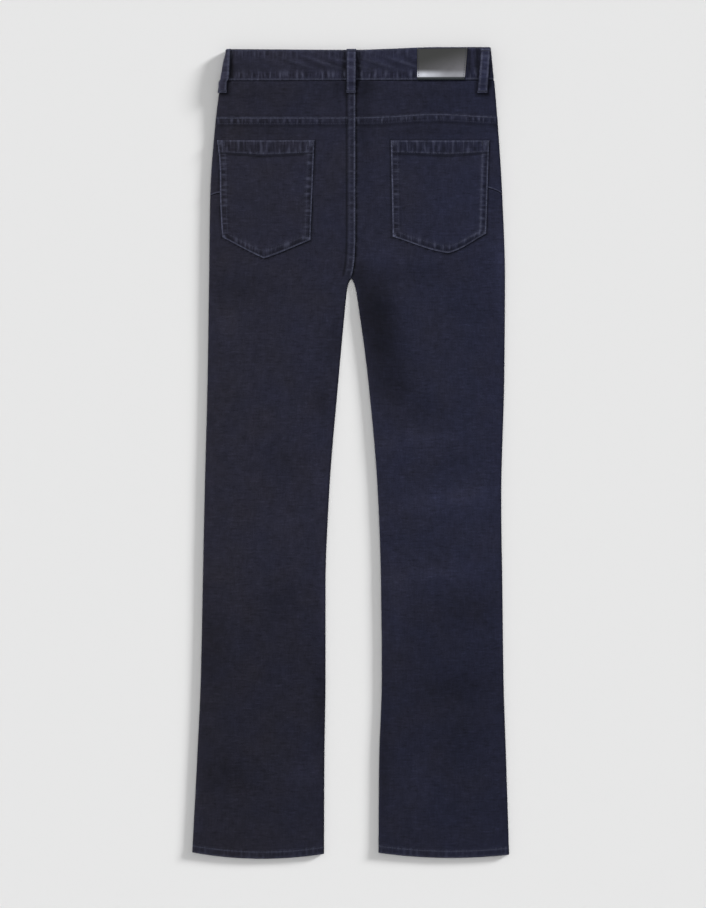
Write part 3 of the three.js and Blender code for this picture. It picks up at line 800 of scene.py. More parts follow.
def patch_leather():
    """Split leather under a glossy grey film. It is dark at the top left; a painted reflection makes
    it greyer towards the lower right, a painted highlight makes it nearly white low on the left,
    and painted shade darkens its rolled lower edge."""
    material, tree, shader = new_material("film-coated split leather", {
        "Roughness": 0.42, "Specular IOR Level": 0.3})
    uv = node(tree, "ShaderNodeUVMap", {"uv_map": "cloth"}).outputs["UV"]
    painted_reflection = node(tree, "ShaderNodeAttribute", {"attribute_name": "tone"}).outputs["Fac"]
    painted_highlight = node(tree, "ShaderNodeAttribute", {"attribute_name": "wear"}).outputs["Fac"]
    painted_edge_shade = node(tree, "ShaderNodeAttribute", {"attribute_name": "pucker_x"}).outputs["Fac"]
    cloud = node(tree, "ShaderNodeTexNoise", inputs={
        "Vector": uv, "Scale": 60.0, "Detail": 3.0, "Roughness": 0.55}).outputs["Fac"]
    uneven = node(tree, "ShaderNodeMapRange", inputs={
        "Value": cloud, "From Min": 0.3, "From Max": 0.7, "To Min": -0.14, "To Max": 0.14})
    base = (*linear("#2a2b2a"), 1)
    # Over the dark base: a painted reflection in grey, then a painted highlight in near white.
    for share, colour in ((painted_reflection, "#66656a"), (painted_highlight, "#d3d6e0")):
        shaken = node(tree, "ShaderNodeMath", {"operation": "MULTIPLY_ADD", "use_clamp": True}, {
            0: uneven.outputs["Result"], 1: share, 2: share}).outputs[0]
        base = node(tree, "ShaderNodeMix", {"data_type": "RGBA"}, {
            "Factor": shaken, "A": base, "B": (*linear(colour), 1)}).outputs["Result"]
    # Painted shade on the rolled lower edge, in a dark blue grey.
    edged = node(tree, "ShaderNodeMix", {"data_type": "RGBA"}, {
        "Factor": painted_edge_shade, "A": base, "B": (*linear("#1c2228"), 1)})
    tree.links.new(edged.outputs["Result"], shader.inputs["Base Color"])
    grain = node(tree, "ShaderNodeTexVoronoi", inputs={"Vector": uv, "Scale": 700.0})
    bump = node(tree, "ShaderNodeBump", inputs={
        "Strength": 0.12, "Distance": 0.0003, "Height": grain.outputs["Distance"]})
    tree.links.new(bump.outputs["Normal"], shader.inputs["Normal"])
    return material


def gunmetal(colours):
    """Zinc alloy, cast and gunmetal plated: a dark metal with a soft sheen and small scuffs."""
    name = "gunmetal-plated zinc"
    if name in bpy.data.materials:
        return bpy.data.materials[name]
    material, tree, shader = new_material(name, {
        "Metallic": 1.0, "Base Color": (*colours.metal, 1.0)})
    place = node(tree, "ShaderNodeTexCoord").outputs["Object"]
    scuffs = node(tree, "ShaderNodeTexNoise", inputs={"Vector": place, "Scale": 900.0, "Detail": 4.0})
    rough = node(tree, "ShaderNodeMapRange", inputs={
        "Value": scuffs.outputs["Fac"], "From Min": 0.3, "From Max": 0.7,
        "To Min": 0.28, "To Max": 0.5})
    tree.links.new(rough.outputs["Result"], shader.inputs["Roughness"])
    return material


def tape_cloth():
    """Woven polyester zip tape: plain, dense and almost black."""
    material, tree, shader = new_material("woven polyester tape", {
        "Roughness": 0.8, "Specular IOR Level": 0.2})
    uv = node(tree, "ShaderNodeUVMap", {"uv_map": "cloth"}).outputs["UV"]
    ribs = node(tree, "ShaderNodeTexWave", {"bands_direction": "Y"}, {
        "Vector": uv, "Scale": 300.0, "Distortion": 0.6})
    colour = node(tree, "ShaderNodeMix", {"data_type": "RGBA"}, {
        "Factor": ribs.outputs["Fac"], "A": (*linear("#15161d"), 1), "B": (*linear("#1f2029"), 1)})
    tree.links.new(colour.outputs["Result"], shader.inputs["Base Color"])
    return material


# ------------------------------------------------------------------ stitching
STITCH_SIDES = 5
STITCH_RINGS = ((-0.34, 0.8), (0.0, 1.0), (0.34, 0.8))


def lengths_along(points):
    """Length of a path up to each of its points."""
    steps = np.linalg.norm(np.diff(points, axis=0), axis=1)
    return np.concatenate(([0], np.cumsum(steps)))


def read_at(where, total, values):
    """Values given at a path's points, read at those lengths along it."""
    return np.stack([np.interp(where, total, values[:, k]) for k in range(values.shape[1])], 1)


def facing(z, count):
    """Directions straight up or down, one for each of that many points."""
    return np.tile((0.0, 0.0, float(z)), (count, 1))


def stitch_shapes(points, normals, sizes, sunk=False):
    """Vertices and faces of a row of stitches along a path, in millimetres. A sunk row lies
    deeper in its groove, so less of it shows."""
    pitch = sizes["pitch"]
    width = sizes["width"] * (0.7 if sunk else 1)
    rise = -0.02 if sunk else 0.12
    total = lengths_along(points)
    start = pitch * 0.6
    at = np.arange(start, total[-1] - start, pitch)
    if len(at) == 0:
        return np.zeros((0, 3)), []
    half = sizes["length"] / 2
    tail, head = read_at(at - half, total, points), read_at(at + half, total, points)
    middle = (tail + head) / 2
    along_way = head - tail
    along_way /= np.maximum(np.linalg.norm(along_way, axis=1, keepdims=True), 1e-9)
    up = read_at(at, total, normals)
    up -= along_way * np.sum(up * along_way, axis=1, keepdims=True)
    up /= np.maximum(np.linalg.norm(up, axis=1, keepdims=True), 1e-9)
    across = np.cross(along_way, up)
    return placed_stitches(middle + up * rise, along_way, across, up, sizes["length"], width)


def placed_stitches(middle, along_way, across, up, length, width):
    """Five-sided stitches, thickest in the middle, whose two tips dip into the cloth."""
    verts = []
    for t, r in STITCH_RINGS:
        for k in range(STITCH_SIDES):
            angle = 2 * math.pi * k / STITCH_SIDES
            verts.append(middle + along_way * t * length
                         + across * math.cos(angle) * r * width / 2
                         + up * math.sin(angle) * r * width / 2)
    for t in (-0.5, 0.5):
        verts.append(middle + along_way * t * length - up * width * 0.7)
    verts = np.stack(verts, axis=1)
    count, each = verts.shape[:2]
    n = STITCH_SIDES
    one = []
    for k in range(n):
        after = (k + 1) % n
        one.append((3 * n, after, k))
        for ring in (0, 1):
            one.append((ring * n + k, ring * n + after, (ring + 1) * n + after, (ring + 1) * n + k))
        one.append((3 * n + 1, 2 * n + k, 2 * n + after))
    faces = [tuple(i + s * each for i in face) for s in range(count) for face in one]
    return verts.reshape(-1, 3), faces


class Sewing:
    """Collects rows of stitches and makes one mesh of them."""

    def __init__(self, sizes):
        self.sizes = {"pitch": sizes.stitch_pitch / MM, "length": sizes.stitch_length / MM,
                      "width": sizes.stitch_width / MM}
        self.verts = []
        self.faces = []
        self.count = 0

    def keep(self, verts, faces):
        self.verts.append(verts)
        self.faces.extend(tuple(i + self.count for i in face) for face in faces)
        self.count += len(verts)

    def row(self, points, normals, **options):
        self.keep(*stitch_shapes(np.asarray(points, float), np.asarray(normals, float),
                                 self.sizes, **options))

    def on_top(self, points, height_of, **options):
        """A row along points in plan, on a face whose height is a function of x and y."""
        points = np.asarray(points, float)
        x, y = densified(points)
        z = height_of(x, y)
        d = 0.5
        slope_x = (height_of(x + d, y) - height_of(x - d, y)) / (2 * d)
        slope_y = (height_of(x, y + d) - height_of(x, y - d)) / (2 * d)
        normals = np.stack((-np.clip(slope_x, -1, 1), -np.clip(slope_y, -1, 1), np.ones(len(x))), 1)
        self.row(np.stack((x, y, z), 1), normals, **options)

    def bartack(self, middle, across, up, width, length=2.4):
        """A dense bar of thread, width long, made of short threads side by side."""
        across = np.asarray(across, float)
        up = np.asarray(up, float)
        along_way = np.cross(up, across)
        count = max(4, int(width / 0.62))
        offsets = np.linspace(-width / 2, width / 2, count)
        middles = np.asarray(middle, float) + offsets[:, None] * across + up * 0.15
        self.keep(*placed_stitches(middles, along_way, across, up, length,
                                   self.sizes["width"] * 1.15))

    def bartack_over(self, row, first, last):
        """A bar tack across a strip, from one column of a row of its points to another."""
        span = row[last] - row[first]
        width = np.linalg.norm(span)
        across = span / width
        up = np.cross(across, (0, 1, 0))
        up = up if up[2] > 0 else -up
        self.bartack((row[first] + row[last]) / 2 + up * 0.1, across, up, width)

    def mesh(self, name):
        verts = (np.concatenate(self.verts) + np.array((0, SHIFT_Y, 0))) * MM
        verts[:, 2] = np.maximum(verts[:, 2], 0)    # pressed flat where it meets the floor
        return new_object(name, verts, self.faces)


def densified(points):
    """x and y of points about 1 mm apart on a path in plan."""
    total = lengths_along(points)
    at = np.linspace(0, total[-1], max(3, int(total[-1])))
    return read_at(at, total, points).T


def section_normals(points):
    """Outward directions of a row that runs round a laid tube, in its x and z plane."""
    tangent = np.gradient(points, axis=0)
    normals = np.stack((-tangent[:, 2], np.zeros(len(points)), tangent[:, 0]), 1)
    normals /= np.maximum(np.linalg.norm(normals, axis=1, keepdims=True), 1e-9)
    if normals[len(points) // 2, 2] < 0:
        normals = -normals
    return normals


# ------------------------------------------------------------------ properties


class JeansSizes(bpy.types.PropertyGroup):
    stitch_pitch: FloatProperty(
        name="Stitch pitch", description="From one stitch to the next",
        default=3.3 * MM, unit="LENGTH", precision=5)
    stitch_length: FloatProperty(
        name="Stitch length", description="Length of one stitch on the face",
        default=2.6 * MM, unit="LENGTH", precision=5)
    stitch_width: FloatProperty(
        name="Thread width", description="Thickness of the topstitching thread",
        default=0.62 * MM, unit="LENGTH", precision=5)
    floor_size: FloatProperty(
        name="Floor size", description="Side of the square of floor", default=8.0, unit="LENGTH")
    camera_height: FloatProperty(
        name="Camera height", description="Camera above the floor", default=6.0, unit="LENGTH")


class JeansColours(bpy.types.PropertyGroup):
    denim: FloatVectorProperty(
        name="Denim", description="Dye of the denim", subtype="COLOR", default=linear("#25242e"))
    denim_blue: FloatVectorProperty(
        name="Denim, bluer", description="Bluer patches of the dye", subtype="COLOR",
        default=linear("#212335"))
    worn: FloatVectorProperty(
        name="Worn edges", description="Where seams have rubbed", subtype="COLOR",
        default=linear("#585b70"))
    thread: FloatVectorProperty(
        name="Thread", description="Topstitching thread", subtype="COLOR", default=linear("#3f4256"))
    thread_dark: FloatVectorProperty(
        name="Thread, dark", description="Topstitching thread where it has darkened",
        subtype="COLOR", default=linear("#272936"))
    metal: FloatVectorProperty(
        name="Metal", description="Plating of the button and the zip", subtype="COLOR",
        default=linear("#6b6c70"))
    floor: FloatVectorProperty(
        name="Floor", description="Floor under the jeans", subtype="COLOR",
        default=linear("#e7e7e7"))


class JeansOperator:
    bl_options = {"REGISTER", "UNDO"}

    @staticmethod
    def sizes():
        return bpy.context.scene.jeans_sizes

    @staticmethod
    def colours():
        return bpy.context.scene.jeans_colours


# ------------------------------------------------------------------ stage

FRAME_HEIGHT = 1.2122     # metres of floor that the view takes in from top to bottom
FLOOR_GAP = 0.1 * MM      # keeps the floor's face apart from the cloth that lies on it
VIEW_X, VIEW_Y = 3.1 * MM, -1.2 * MM


def aim(light, azimuth, elevation):
    """Points a sun so that its light comes from that compass side and height, in degrees."""
    a, e = math.radians(azimuth), math.radians(elevation)
    source = Vector((math.cos(a) * math.cos(e), math.sin(a) * math.cos(e), math.sin(e)))
    light.rotation_euler = source.to_track_quat("Z", "Y").to_euler()


def add_sun(name, azimuth, elevation, strength, spread, only=None):
    data = bpy.data.lights.new(name, "SUN")
    data.energy = strength
    data.angle = math.radians(spread)
    light = bpy.data.objects.new(name, data)
    bpy.context.scene.collection.objects.link(light)
    aim(light, azimuth, elevation)
    if only is not None:
        light.light_linking.receiver_collection = only
    return light


class JEANS_OT_stage(JeansOperator, bpy.types.Operator):
    """Adds the floor, the soft studio light and the camera straight above"""
    bl_idname = "jeans.stage"
    bl_label = "Stage"

    def execute(self, context):
        scene = context.scene
        scene.view_settings.view_transform = "Standard"
        half = self.sizes().floor_size / 2
        low = -FLOOR_GAP
        corners = np.array(((-half, -half, low), (half, -half, low), (half, half, low), (-half, half, low)))
        floor = new_object("floor", corners, [(0, 1, 2, 3)])
        material, tree, board = new_material("matt painted board", {
            "Roughness": 0.95, "Specular IOR Level": 0.0,
            "Base Color": (*self.colours().floor, 1.0)})
        # It is clear from underneath, so that the front of the jeans can be looked at.
        shown = node(tree, "ShaderNodeMixShader", inputs={
            0: node(tree, "ShaderNodeNewGeometry").outputs["Backfacing"],
            1: board.outputs["BSDF"],
            2: node(tree, "ShaderNodeBsdfTransparent").outputs["BSDF"]})
        tree.links.new(shown.outputs["Shader"], tree.nodes["Material Output"].inputs["Surface"])
        floor.data.materials.append(material)
        floor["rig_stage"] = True
        floor_only = bpy.data.collections.new("lit floor")
        floor_only.objects.link(floor)
        cloth_only = bpy.data.collections.new("lit jeans")
        self.light(scene, floor_only, cloth_only)
        self.camera(scene)
        return {"FINISHED"}

    def light(self, scene, floor_only, cloth_only):
        world = bpy.data.worlds.new("studio")
        world.use_nodes = True
        world.node_tree.nodes["Background"].inputs["Color"].default_value = (1, 1, 1, 1)
        world.node_tree.nodes["Background"].inputs["Strength"].default_value = 0.40
        scene.world = world
        add_sun("overhead", 90, 86, 0.20 * math.pi, 40)
        low = math.sin(math.radians(15))
        add_sun("low right", 31, 15, 0.40 * math.pi / low, 12, floor_only)
        for made in context_pieces():
            cloth_only.objects.link(made)
        add_sun("soft left", 128, 38, 0.40 * math.pi / math.sin(math.radians(38)), 14, cloth_only)
        # The floor would leave the front black in a view from underneath.
        under = add_sun("from below", 250, -55, 0.7 * math.pi, 40, cloth_only)
        under.light_linking.blocker_collection = cloth_only

    def camera(self, scene):
        data = bpy.data.cameras.new("camera")
        data.sensor_width = 36
        data.lens = 36 * self.sizes().camera_height / FRAME_HEIGHT
        data.clip_end = 50
        camera = bpy.data.objects.new("camera", data)
        camera.location = (VIEW_X, VIEW_Y, self.sizes().camera_height)
        scene.collection.objects.link(camera)
        scene.camera = camera


def context_pieces():
    """Every shown piece of the jeans."""
    return [o for o in bpy.context.scene.objects
            if o.type == "MESH" and not o.get("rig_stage") and not o.hide_render]


# ------------------------------------------------------------------ back panels and yokes


def fixed(y):
    return lambda x: np.full(np.shape(x), float(y))


def below_yoke_seam(drop):
    return lambda x: yoke_seam_y(x) - GAP / 2 - drop


def above_hem(side, up):
    return lambda x: hem_y(side, x) + up


def leg_stations(side, first_rows, levels):
    """(base y, y of x, wall) for each row of a leg: its first rows, the level ones, the hem's."""
    stations = first_rows + [(y, fixed(y), CLOTH) for y in levels]
    for up in spaced([(HEM_GRID, 0, 1.0)]):
        wall = mix(CLOTH, HEM_CLOTH, ease((HEM_DEPTH + 1.5 - up) / 3))
        stations.append((HEM_BASE + up, above_hem(side, up), wall))
    return stations


class JEANS_OT_back_panels(JeansOperator, bpy.types.Operator):
    """Builds the two back leg panels, round both folded edges"""
    bl_idname = "jeans.back_panels"
    bl_label = "Back panels"

    def execute(self, context):
        seam_rows = [(PANEL_TOP_Y - drop, below_yoke_seam(drop), CLOTH)
                     for drop in spaced([(0, 15, 1.0)])]
        above_crotch = spaced([(429, CROTCH_Y + 0.1, 3.0)])
        below_crotch = spaced([(CROTCH_Y - 1.2, 200, 1.6), (200, -512, 3.1)])
        levels = np.concatenate((above_crotch, below_crotch))
        for side in SIDES:
            stations = leg_stations(side, seam_rows, levels)
            outer, inner, shares = build_rows(stations, back_section, side)
            piece = cloth_mesh(f"cloth_back_panel_{side}", outer, inner, shares)
            seat(piece, denim(self.colours()), [f"back_panel_{side}"])
        return {"FINISHED"}


class JEANS_OT_yokes(JeansOperator, bpy.types.Operator):
    """Builds the two back yokes"""
    bl_idname = "jeans.yokes"
    bl_label = "Back yokes"

    def execute(self, context):
        # The last row is given twice.
        stations = [(mix(YOKE_TOP_Y, YOKE_LOW_Y, down), self.between_seams(down), CLOTH)
                    for down in spaced([(0, 1, 0.04), (1, 1, 1)])]
        for side in SIDES:
            outer, inner, shares = build_rows(stations, back_section, side)
            piece = cloth_mesh(f"cloth_back_yoke_{side}", outer, inner, shares)
            seat(piece, denim(self.colours()), [f"back_yoke_{side}"])
        return {"FINISHED"}

    def between_seams(self, down):
        return lambda x: mix(waist_seam_y(x) - GAP / 2, yoke_seam_y(x) + GAP / 2, down)


# ------------------------------------------------------------------ front panels


def front_section(side, base, y_of, wall):
    way = -way_out(side)
    outer_x = outer_edge(side, base) + way * (SIDE_SEAM_IN + GAP)
    points = []
    for depth in (0.0, wall):
        part = np.linspace(0, 1, 8)
        if base >= CROTCH_Y:
            seam = min(1, (base - CROTCH_Y) / 20) * (CENTRE_FRONT_X - CROTCH_X) + CROTCH_X
            x0 = seam - way * (GAP / 2 + 7 * part)
            z0 = np.full(8, under_of(base) + depth)
        else:
            edge = inner_edge(side, base)
            flat = math.pi * fold_radius(side, base, edge, way) + 7
            runs = mix(inseam_run(side, base) + seam_gap(base) / 2, flat, part)
            x0, z0 = turn(side, base, edge, way, runs, depth)
        x1 = np.linspace(x0[-1], outer_x, 26)[1:]
        x = np.concatenate((x0, x1))
        z = np.concatenate((z0, np.full(25, under_of(base) + depth)))
        points.append(np.stack((x, y_of(x), z), 1))
    x, y = points[0][:, 0], points[0][:, 1]
    up = y - hem_y(side, x)
    shares = {"tone": dye_and_painted_light_at(-x, y), "wear": 0.5 * bell(up / 2),
              "pucker_x": 0.7 * ease((HEM_DEPTH - up) / 2),
              "pucker_y": 0.8 * bell((np.abs(outer_x - x) - 3) / 4)}
    return points[0], points[1], shares


class JEANS_OT_front_panels(JeansOperator, bpy.types.Operator):
    """Builds the two front leg panels, flat underneath"""
    bl_idname = "jeans.front_panels"
    bl_label = "Front panels"

    def execute(self, context):
        top = (YOKE_TOP_Y, lambda x: waist_seam_y(x) - GAP / 2, CLOTH)
        levels = spaced([(489, 430, 5), (430, CROTCH_Y + 0.1, 7), (CROTCH_Y - 1.2, 190, 2.5),
                         (190, -512, 7)])
        for side in SIDES:
            stations = leg_stations(side, [top], levels)
            outer, inner, shares = build_rows(stations, front_section, side)
            piece = cloth_mesh(f"cloth_front_panel_{side}", outer, inner, shares)
            seat(piece, denim(self.colours()), [f"front_panel_{side}"])
        return {"FINISHED"}


# ------------------------------------------------------------------ waistband
BAND = {"hole_end": 15, "button_end": -22, "step_from": 42, "step_to": 18,
        "inset_left": 1.5, "inset_right": 0.3}


def band_relief(s, height):
    """Height and finish shares over the band: s along it, height in mm above its lower edge."""
    low, high = height, BAND_TALL - height
    puckers = 0.30 * bell((low - 6) / 5.5) * ripple(s, 6.2, 0.7)
    puckers = puckers + 0.20 * bell((high - 5) / 6) * ripple(s, 11.0, 2.9)
    drag = 0.16 * ripple(s + 3.2 * height, 38.0, 1.1) * bell((height - 22) / 14)
    groove = -0.28 * bell((low - BAND_ROW) / 0.8) - 0.2 * bell((high - BAND_ROW) / 0.8)
    rounded = -0.55 * bell(low / 0.7) - 0.7 * bell(high / 1.0)
    wear = 0.55 * bell((low - 2.4) / 0.9) + 0.30 * bell((high - 1.2) / 1.2)
    creases = ease(1.6 * ripple(s + 3.2 * height, 38.0, 1.1) - 0.5)
    wear = wear + 0.24 * bell((height - 24) / 8) * creases
    shares = {
        "wear": np.clip(wear, 0, 1),
        "pucker_x": np.clip(1.0 * bell((low - 7) / 6) + 0.5 * bell((high - 6) / 6), 0, 1),
        "pucker_y": 0 * s,
        # Paler over all and darker about the middle, with soft slanting streaks, and painted shade along
        # the lower rounded edge.
        "tone": np.exp(0.26 - 0.30 * bell((height - 19) / 8) - 0.8 * bell((low - 0.2) / 1.0)
                       - 0.22 * bell((height - 26) / 9) * ripple(s + 2.4 * height, 29.0, 0.3)),
    }
    return puckers + drag + groove + rounded, shares


def band_stations():
    """Shares of the band's height at which its rows lie, closer together near both edges."""
    rim = 10
    upper = BAND_TALL - rim
    return spaced([(0, rim, 0.9), (rim, upper, 1.7), (upper, BAND_TALL, 1.0)]) / BAND_TALL


def band_section(part):
    """Outer and inner points of the band at a share of its height."""
    base = mix(BAND_LOW_Y, BAND_TOP_Y, part)
    radius = BAND_HEIGHT / 2
    left = outer_edge("left", base) + BAND["inset_left"] + radius
    right = outer_edge("right", base) - BAND["inset_right"] - radius
    lap_end = BAND["button_end"]
    first = np.concatenate((np.linspace(BAND["hole_end"], lap_end, 10),
                            np.linspace(lap_end, left, 28)[1:-1]))
    angles = np.linspace(math.pi, 0, 10)
    tops = np.linspace(left, right, 222)[1:-1]
    last = np.concatenate((np.linspace(right, BAND["step_from"], 26)[1:-1],
                           np.linspace(BAND["step_from"], lap_end, 21)))
    x_flat = np.concatenate((first, np.full(10, left), tops, np.full(10, right), last))
    sines = np.concatenate((np.zeros(len(first)), -np.sin(angles), np.zeros(len(tops)),
                            np.sin(angles), np.zeros(len(last))))
    cosines = np.concatenate((-np.ones(len(first)), np.cos(angles), np.ones(len(tops)),
                              np.cos(angles[::-1]), -np.ones(len(last))))
    step = (BAND_CLOTH + GAP) * ease((BAND["step_from"] - last) / (BAND["step_from"] - BAND["step_to"]))
    raised = np.concatenate((np.zeros(len(x_flat) - len(last)), step))
    sag = np.where(cosines > 0.999, band_top(x_flat) - WAIST_LIFT - BAND_HEIGHT, 0)
    plain = x_flat + radius * sines
    s = np.concatenate(([0], np.cumsum(np.hypot(np.diff(plain), radius * np.diff(cosines)))))
    y = mix(waist_seam_y(plain) + GAP / 2, waist_top_y(plain), part)
    height, shares = band_relief(s, np.full(len(s), part * BAND_TALL))
    upper = np.clip(cosines + 0.6, 0, 1)
    height = height * upper + np.minimum(height, 0) * (1 - upper)
    points = []
    for depth in (-height, np.full(len(s), BAND_CLOTH)):
        x = x_flat + (radius - depth) * sines
        z = WAIST_LIFT + radius + (radius - depth) * cosines + sag + raised
        points.append(np.stack((x, y, z), 1))
    shares["tone"] = shares["tone"] * np.where(cosines > 0.5, band_tone(plain), 1.0)
    return points[0], points[1], shares


def band_tone(x):
    """Darker beside the belt loops, where the band is shaded and less rubbed."""
    return np.exp(-1.2 * bell((x + 8.5) / 3.2) - 1.1 * bell((x - 10.5) / 3.5)
                  - 1.0 * bell((x - 169) / 3.2) - 1.2 * bell((x + 158.5) / 2.2)
                  - 0.8 * bell((x - 158) / 2.0))


class JEANS_OT_waistband(JeansOperator, bpy.types.Operator):
    """Builds the waistband, one strip round the waist with lapped ends"""
    bl_idname = "jeans.waistband"
    bl_label = "Waistband"

    def execute(self, context):
        outer, inner, shares = build_rows([(part,) for part in band_stations()], band_section)
        piece = cloth_mesh("cloth_waistband", outer, inner, shares)
        seat(piece, denim(self.colours()), ["waistband"])
        self.stitch(outer)
        return {"FINISHED"}

    def stitch(self, outer):
        sewing = Sewing(self.sizes())
        heights = band_stations() * BAND_TALL
        for height in (BAND_ROW, BAND_TALL - BAND_ROW):
            row = outer[np.argmin(np.abs(heights - height))]
            sewing.row(row, section_normals(row))
        piece = sewing.mesh("stitches_waistband")
        seat(piece, thread(self.colours()))


# ------------------------------------------------------------------ pockets


def pocket_sides(side, down):
    """x of a pocket's left and right edges."""
    pocket = POCKETS[side]
    left = mix(pocket["top_left"], pocket["bottom_left"], down)
    left = left + pocket["bow"] * bell((down - 0.3) / 0.3) * (1 - down)
    return left, mix(pocket["top_right"], pocket["bottom_right"], down)


def pocket_point(side):
    """Share across at which a pocket's lower edge comes to its point."""
    pocket = POCKETS[side]
    return (pocket["point_x"] - pocket["bottom_left"]) / (pocket["bottom_right"] - pocket["bottom_left"])


def pocket_low(side, across):
    """y of a pocket's lower edge, with a slight belly on both sides of its point."""
    pocket, point = POCKETS[side], pocket_point(side)
    near = np.where(across < point, across / point, (1 - across) / (1 - point))
    corner = np.where(across < point, pocket["corner_left"], pocket["corner_right"])
    return mix(corner, pocket["point"], near) - pocket["belly"] * 6.75 * near * near * (1 - near)


def pocket_points(side, across, down):
    """Plan position of a pocket's point from its shares across and down."""
    left, right = pocket_sides(side, down)
    return mix(left, right, across), mix(POCKETS[side]["top"], pocket_low(side, across), down)


def pocket_edges(across, down):
    """Distances in mm to the left, right, top and bottom edges."""
    return (across * POCKET_WIDE, (1 - across) * POCKET_WIDE,
            down * POCKET_TALL, (1 - down) * POCKET_TALL * POCKET_SLOPE)


def pocket_relief(side, across, down, x, y):
    left, right, top, bottom = pocket_edges(across, down)
    seed = 0.9 if side == "left" else 3.3
    edge = np.minimum(np.minimum(left, right), bottom)
    allowance = ease((11.5 - edge) / 1.6)
    hem = ease((18 - top) / 1.2)
    height = CLOTH + 0.35 * allowance + 0.6 * hem
    height = height - 0.24 * (bell((edge - ROW_NEAR) / 0.8) + bell((edge - ROW_FAR) / 0.8)) * (top > 2)
    height = height - 0.3 * bell((top - POCKET_HEM_ROW) / 0.9) * (edge > 2)
    side_wave = bell((np.minimum(left, right) - 6) / 4.5) * ripple(y, 8.5, seed)
    low_wave = bell((bottom - 6) / 4.5) * ripple(x, 7.5, seed + 1)
    hem_wave = bell((top - 11) / 7) * ripple(x, 7.8, seed + 2)
    height = height + 0.22 * side_wave + 0.2 * low_wave + 0.34 * hem_wave
    near = np.minimum(edge, top)
    height = height - 0.75 * bell(near / 0.65)
    height = height + 0.18 * ripple(x + y, 47, seed) * ease((edge - 8) / 20) * ease((top - 20) / 20)
    wear = 0.95 * bell((edge - 0.9) / 0.9) + 0.45 * bell((top - 0.8) / 0.9)
    wear = wear + 0.5 * bell((top - 16.2) / 1.1) * (0.6 + 0.4 * ripple(x, 7.8, seed + 2))
    second = 0.10 if side == "left" else 0.10 + 0.35 * ease((across - 0.6) / 0.3)
    wear = wear + second * bell((edge - ROW_FAR) / 1.4) * ease((top - 18) / 4)
    corners = bell(np.hypot(left - 2, bottom - 2) / 3) + bell(np.hypot(right - 2, bottom - 2) / 3)
    mouth = bell(np.hypot(left - 3, top - 4) / 4.5) + bell(np.hypot(right - 3, top - 4) / 4.5)
    shares = {
        "wear": np.clip(wear + 0.9 * corners + 0.45 * mouth, 0, 1),
        "pucker_x": np.clip(0.66 * hem * ease(edge / 4) + 0.8 * bell((bottom - 6) / 4), 0, 1),
        "pucker_y": np.clip(0.8 * bell((np.minimum(left, right) - 6) / 4.5) * (1 - hem), 0, 1),
        # Painted shade in a line just below the hem band and a fainter one just inside the edges.
        "tone": np.exp(0.03 - 0.75 * bell((top - 19.6) / 1.5) - 0.3 * bell((edge - 3.6) / 1.2))
        * dye_and_painted_light_at(x, y),
    }
    return height, shares


def pocket_stations():
    rim = 12
    inner_wide, inner_tall = POCKET_WIDE - rim, POCKET_TALL - rim
    across = spaced([(0, rim, 0.75), (rim, inner_wide, 1.7), (inner_wide, POCKET_WIDE, 0.75)])
    down = spaced([(0, 22, 0.9), (22, inner_tall, 1.9), (inner_tall, POCKET_TALL, 0.8)])
    return across / POCKET_WIDE, down / POCKET_TALL


class JEANS_OT_pockets(JeansOperator, bpy.types.Operator):
    """Builds the two patch pockets on the back, with their stitching"""
    bl_idname = "jeans.pockets"
    bl_label = "Back pockets"

    def execute(self, context):
        across, down = np.meshgrid(*pocket_stations())
        for side in SIDES:
            x, y = pocket_points(side, across, down)
            height, shares = pocket_relief(side, across, down, x, y)
            seat_z = upper_face(side, x, y) + GAP
            outer = np.stack((x, y, seat_z + height), axis=2)
            inner = np.stack((x, y, seat_z), axis=2)
            piece = cloth_mesh(f"cloth_back_pocket_{side}", outer, inner, shares)
            seat(piece, denim(self.colours()), [f"back_pocket_{side}"])
            self.stitch(side)
        return {"FINISHED"}

    def stitch(self, side):
        sewing = Sewing(self.sizes())

        def path(across, down):
            x, y = pocket_points(side, across, down)
            height, _ = pocket_relief(side, across, down, x, y)
            z = upper_face(side, x, y) + GAP + height
            points = np.stack((x, y, z), 1)
            return points, facing(1, len(x))

        point = pocket_point(side)
        for inset in (ROW_NEAR, ROW_FAR):
            a, d = inset / POCKET_WIDE, 1 - inset / (POCKET_TALL * POCKET_SLOPE)
            down = spaced([(1.5 / POCKET_TALL, d, 0.008)])
            sunk = inset == ROW_FAR
            sewing.row(*path(np.full(len(down), a), down), sunk=sunk)
            sewing.row(*path(np.full(len(down), 1 - a), down), sunk=sunk)
            low = np.unique(np.concatenate((np.linspace(a, point, 60), np.linspace(point, 1 - a, 60))))
            sewing.row(*path(low, np.full(len(low), d)), sunk=sunk)
        hem = np.linspace(3 / POCKET_WIDE, 1 - 3 / POCKET_WIDE, 120)
        sewing.row(*path(hem, np.full(120, POCKET_HEM_ROW / POCKET_TALL)))
        for inset in (1.6, 9):
            for a in (inset / POCKET_WIDE, 1 - inset / POCKET_WIDE):
                points, _ = path(np.array([a]), np.array([4.2 / POCKET_TALL]))
                sewing.bartack(points[0], (0, 1, 0), (0, 0, 1), 6.5, 1.8)
        piece = sewing.mesh(f"stitches_back_pocket_{side}")
        seat(piece, thread(self.colours()))


# ------------------------------------------------------------------ belt loops
CENTRE_LOOP = {"foot": (-6.0, 7.0), "top": (-5.5, 7.5)}
RIGHT_LOOP = {"foot": (168.6, 182.6), "top": (173.4, 186.6)}
LOOP_ROW = 2.3     # rows of stitches in from a loop's edges
BACK_LOOP_WIDE, EDGE_LOOP_WIDE, FRONT_LOOP_WIDE = 13.5, 12.5, 13


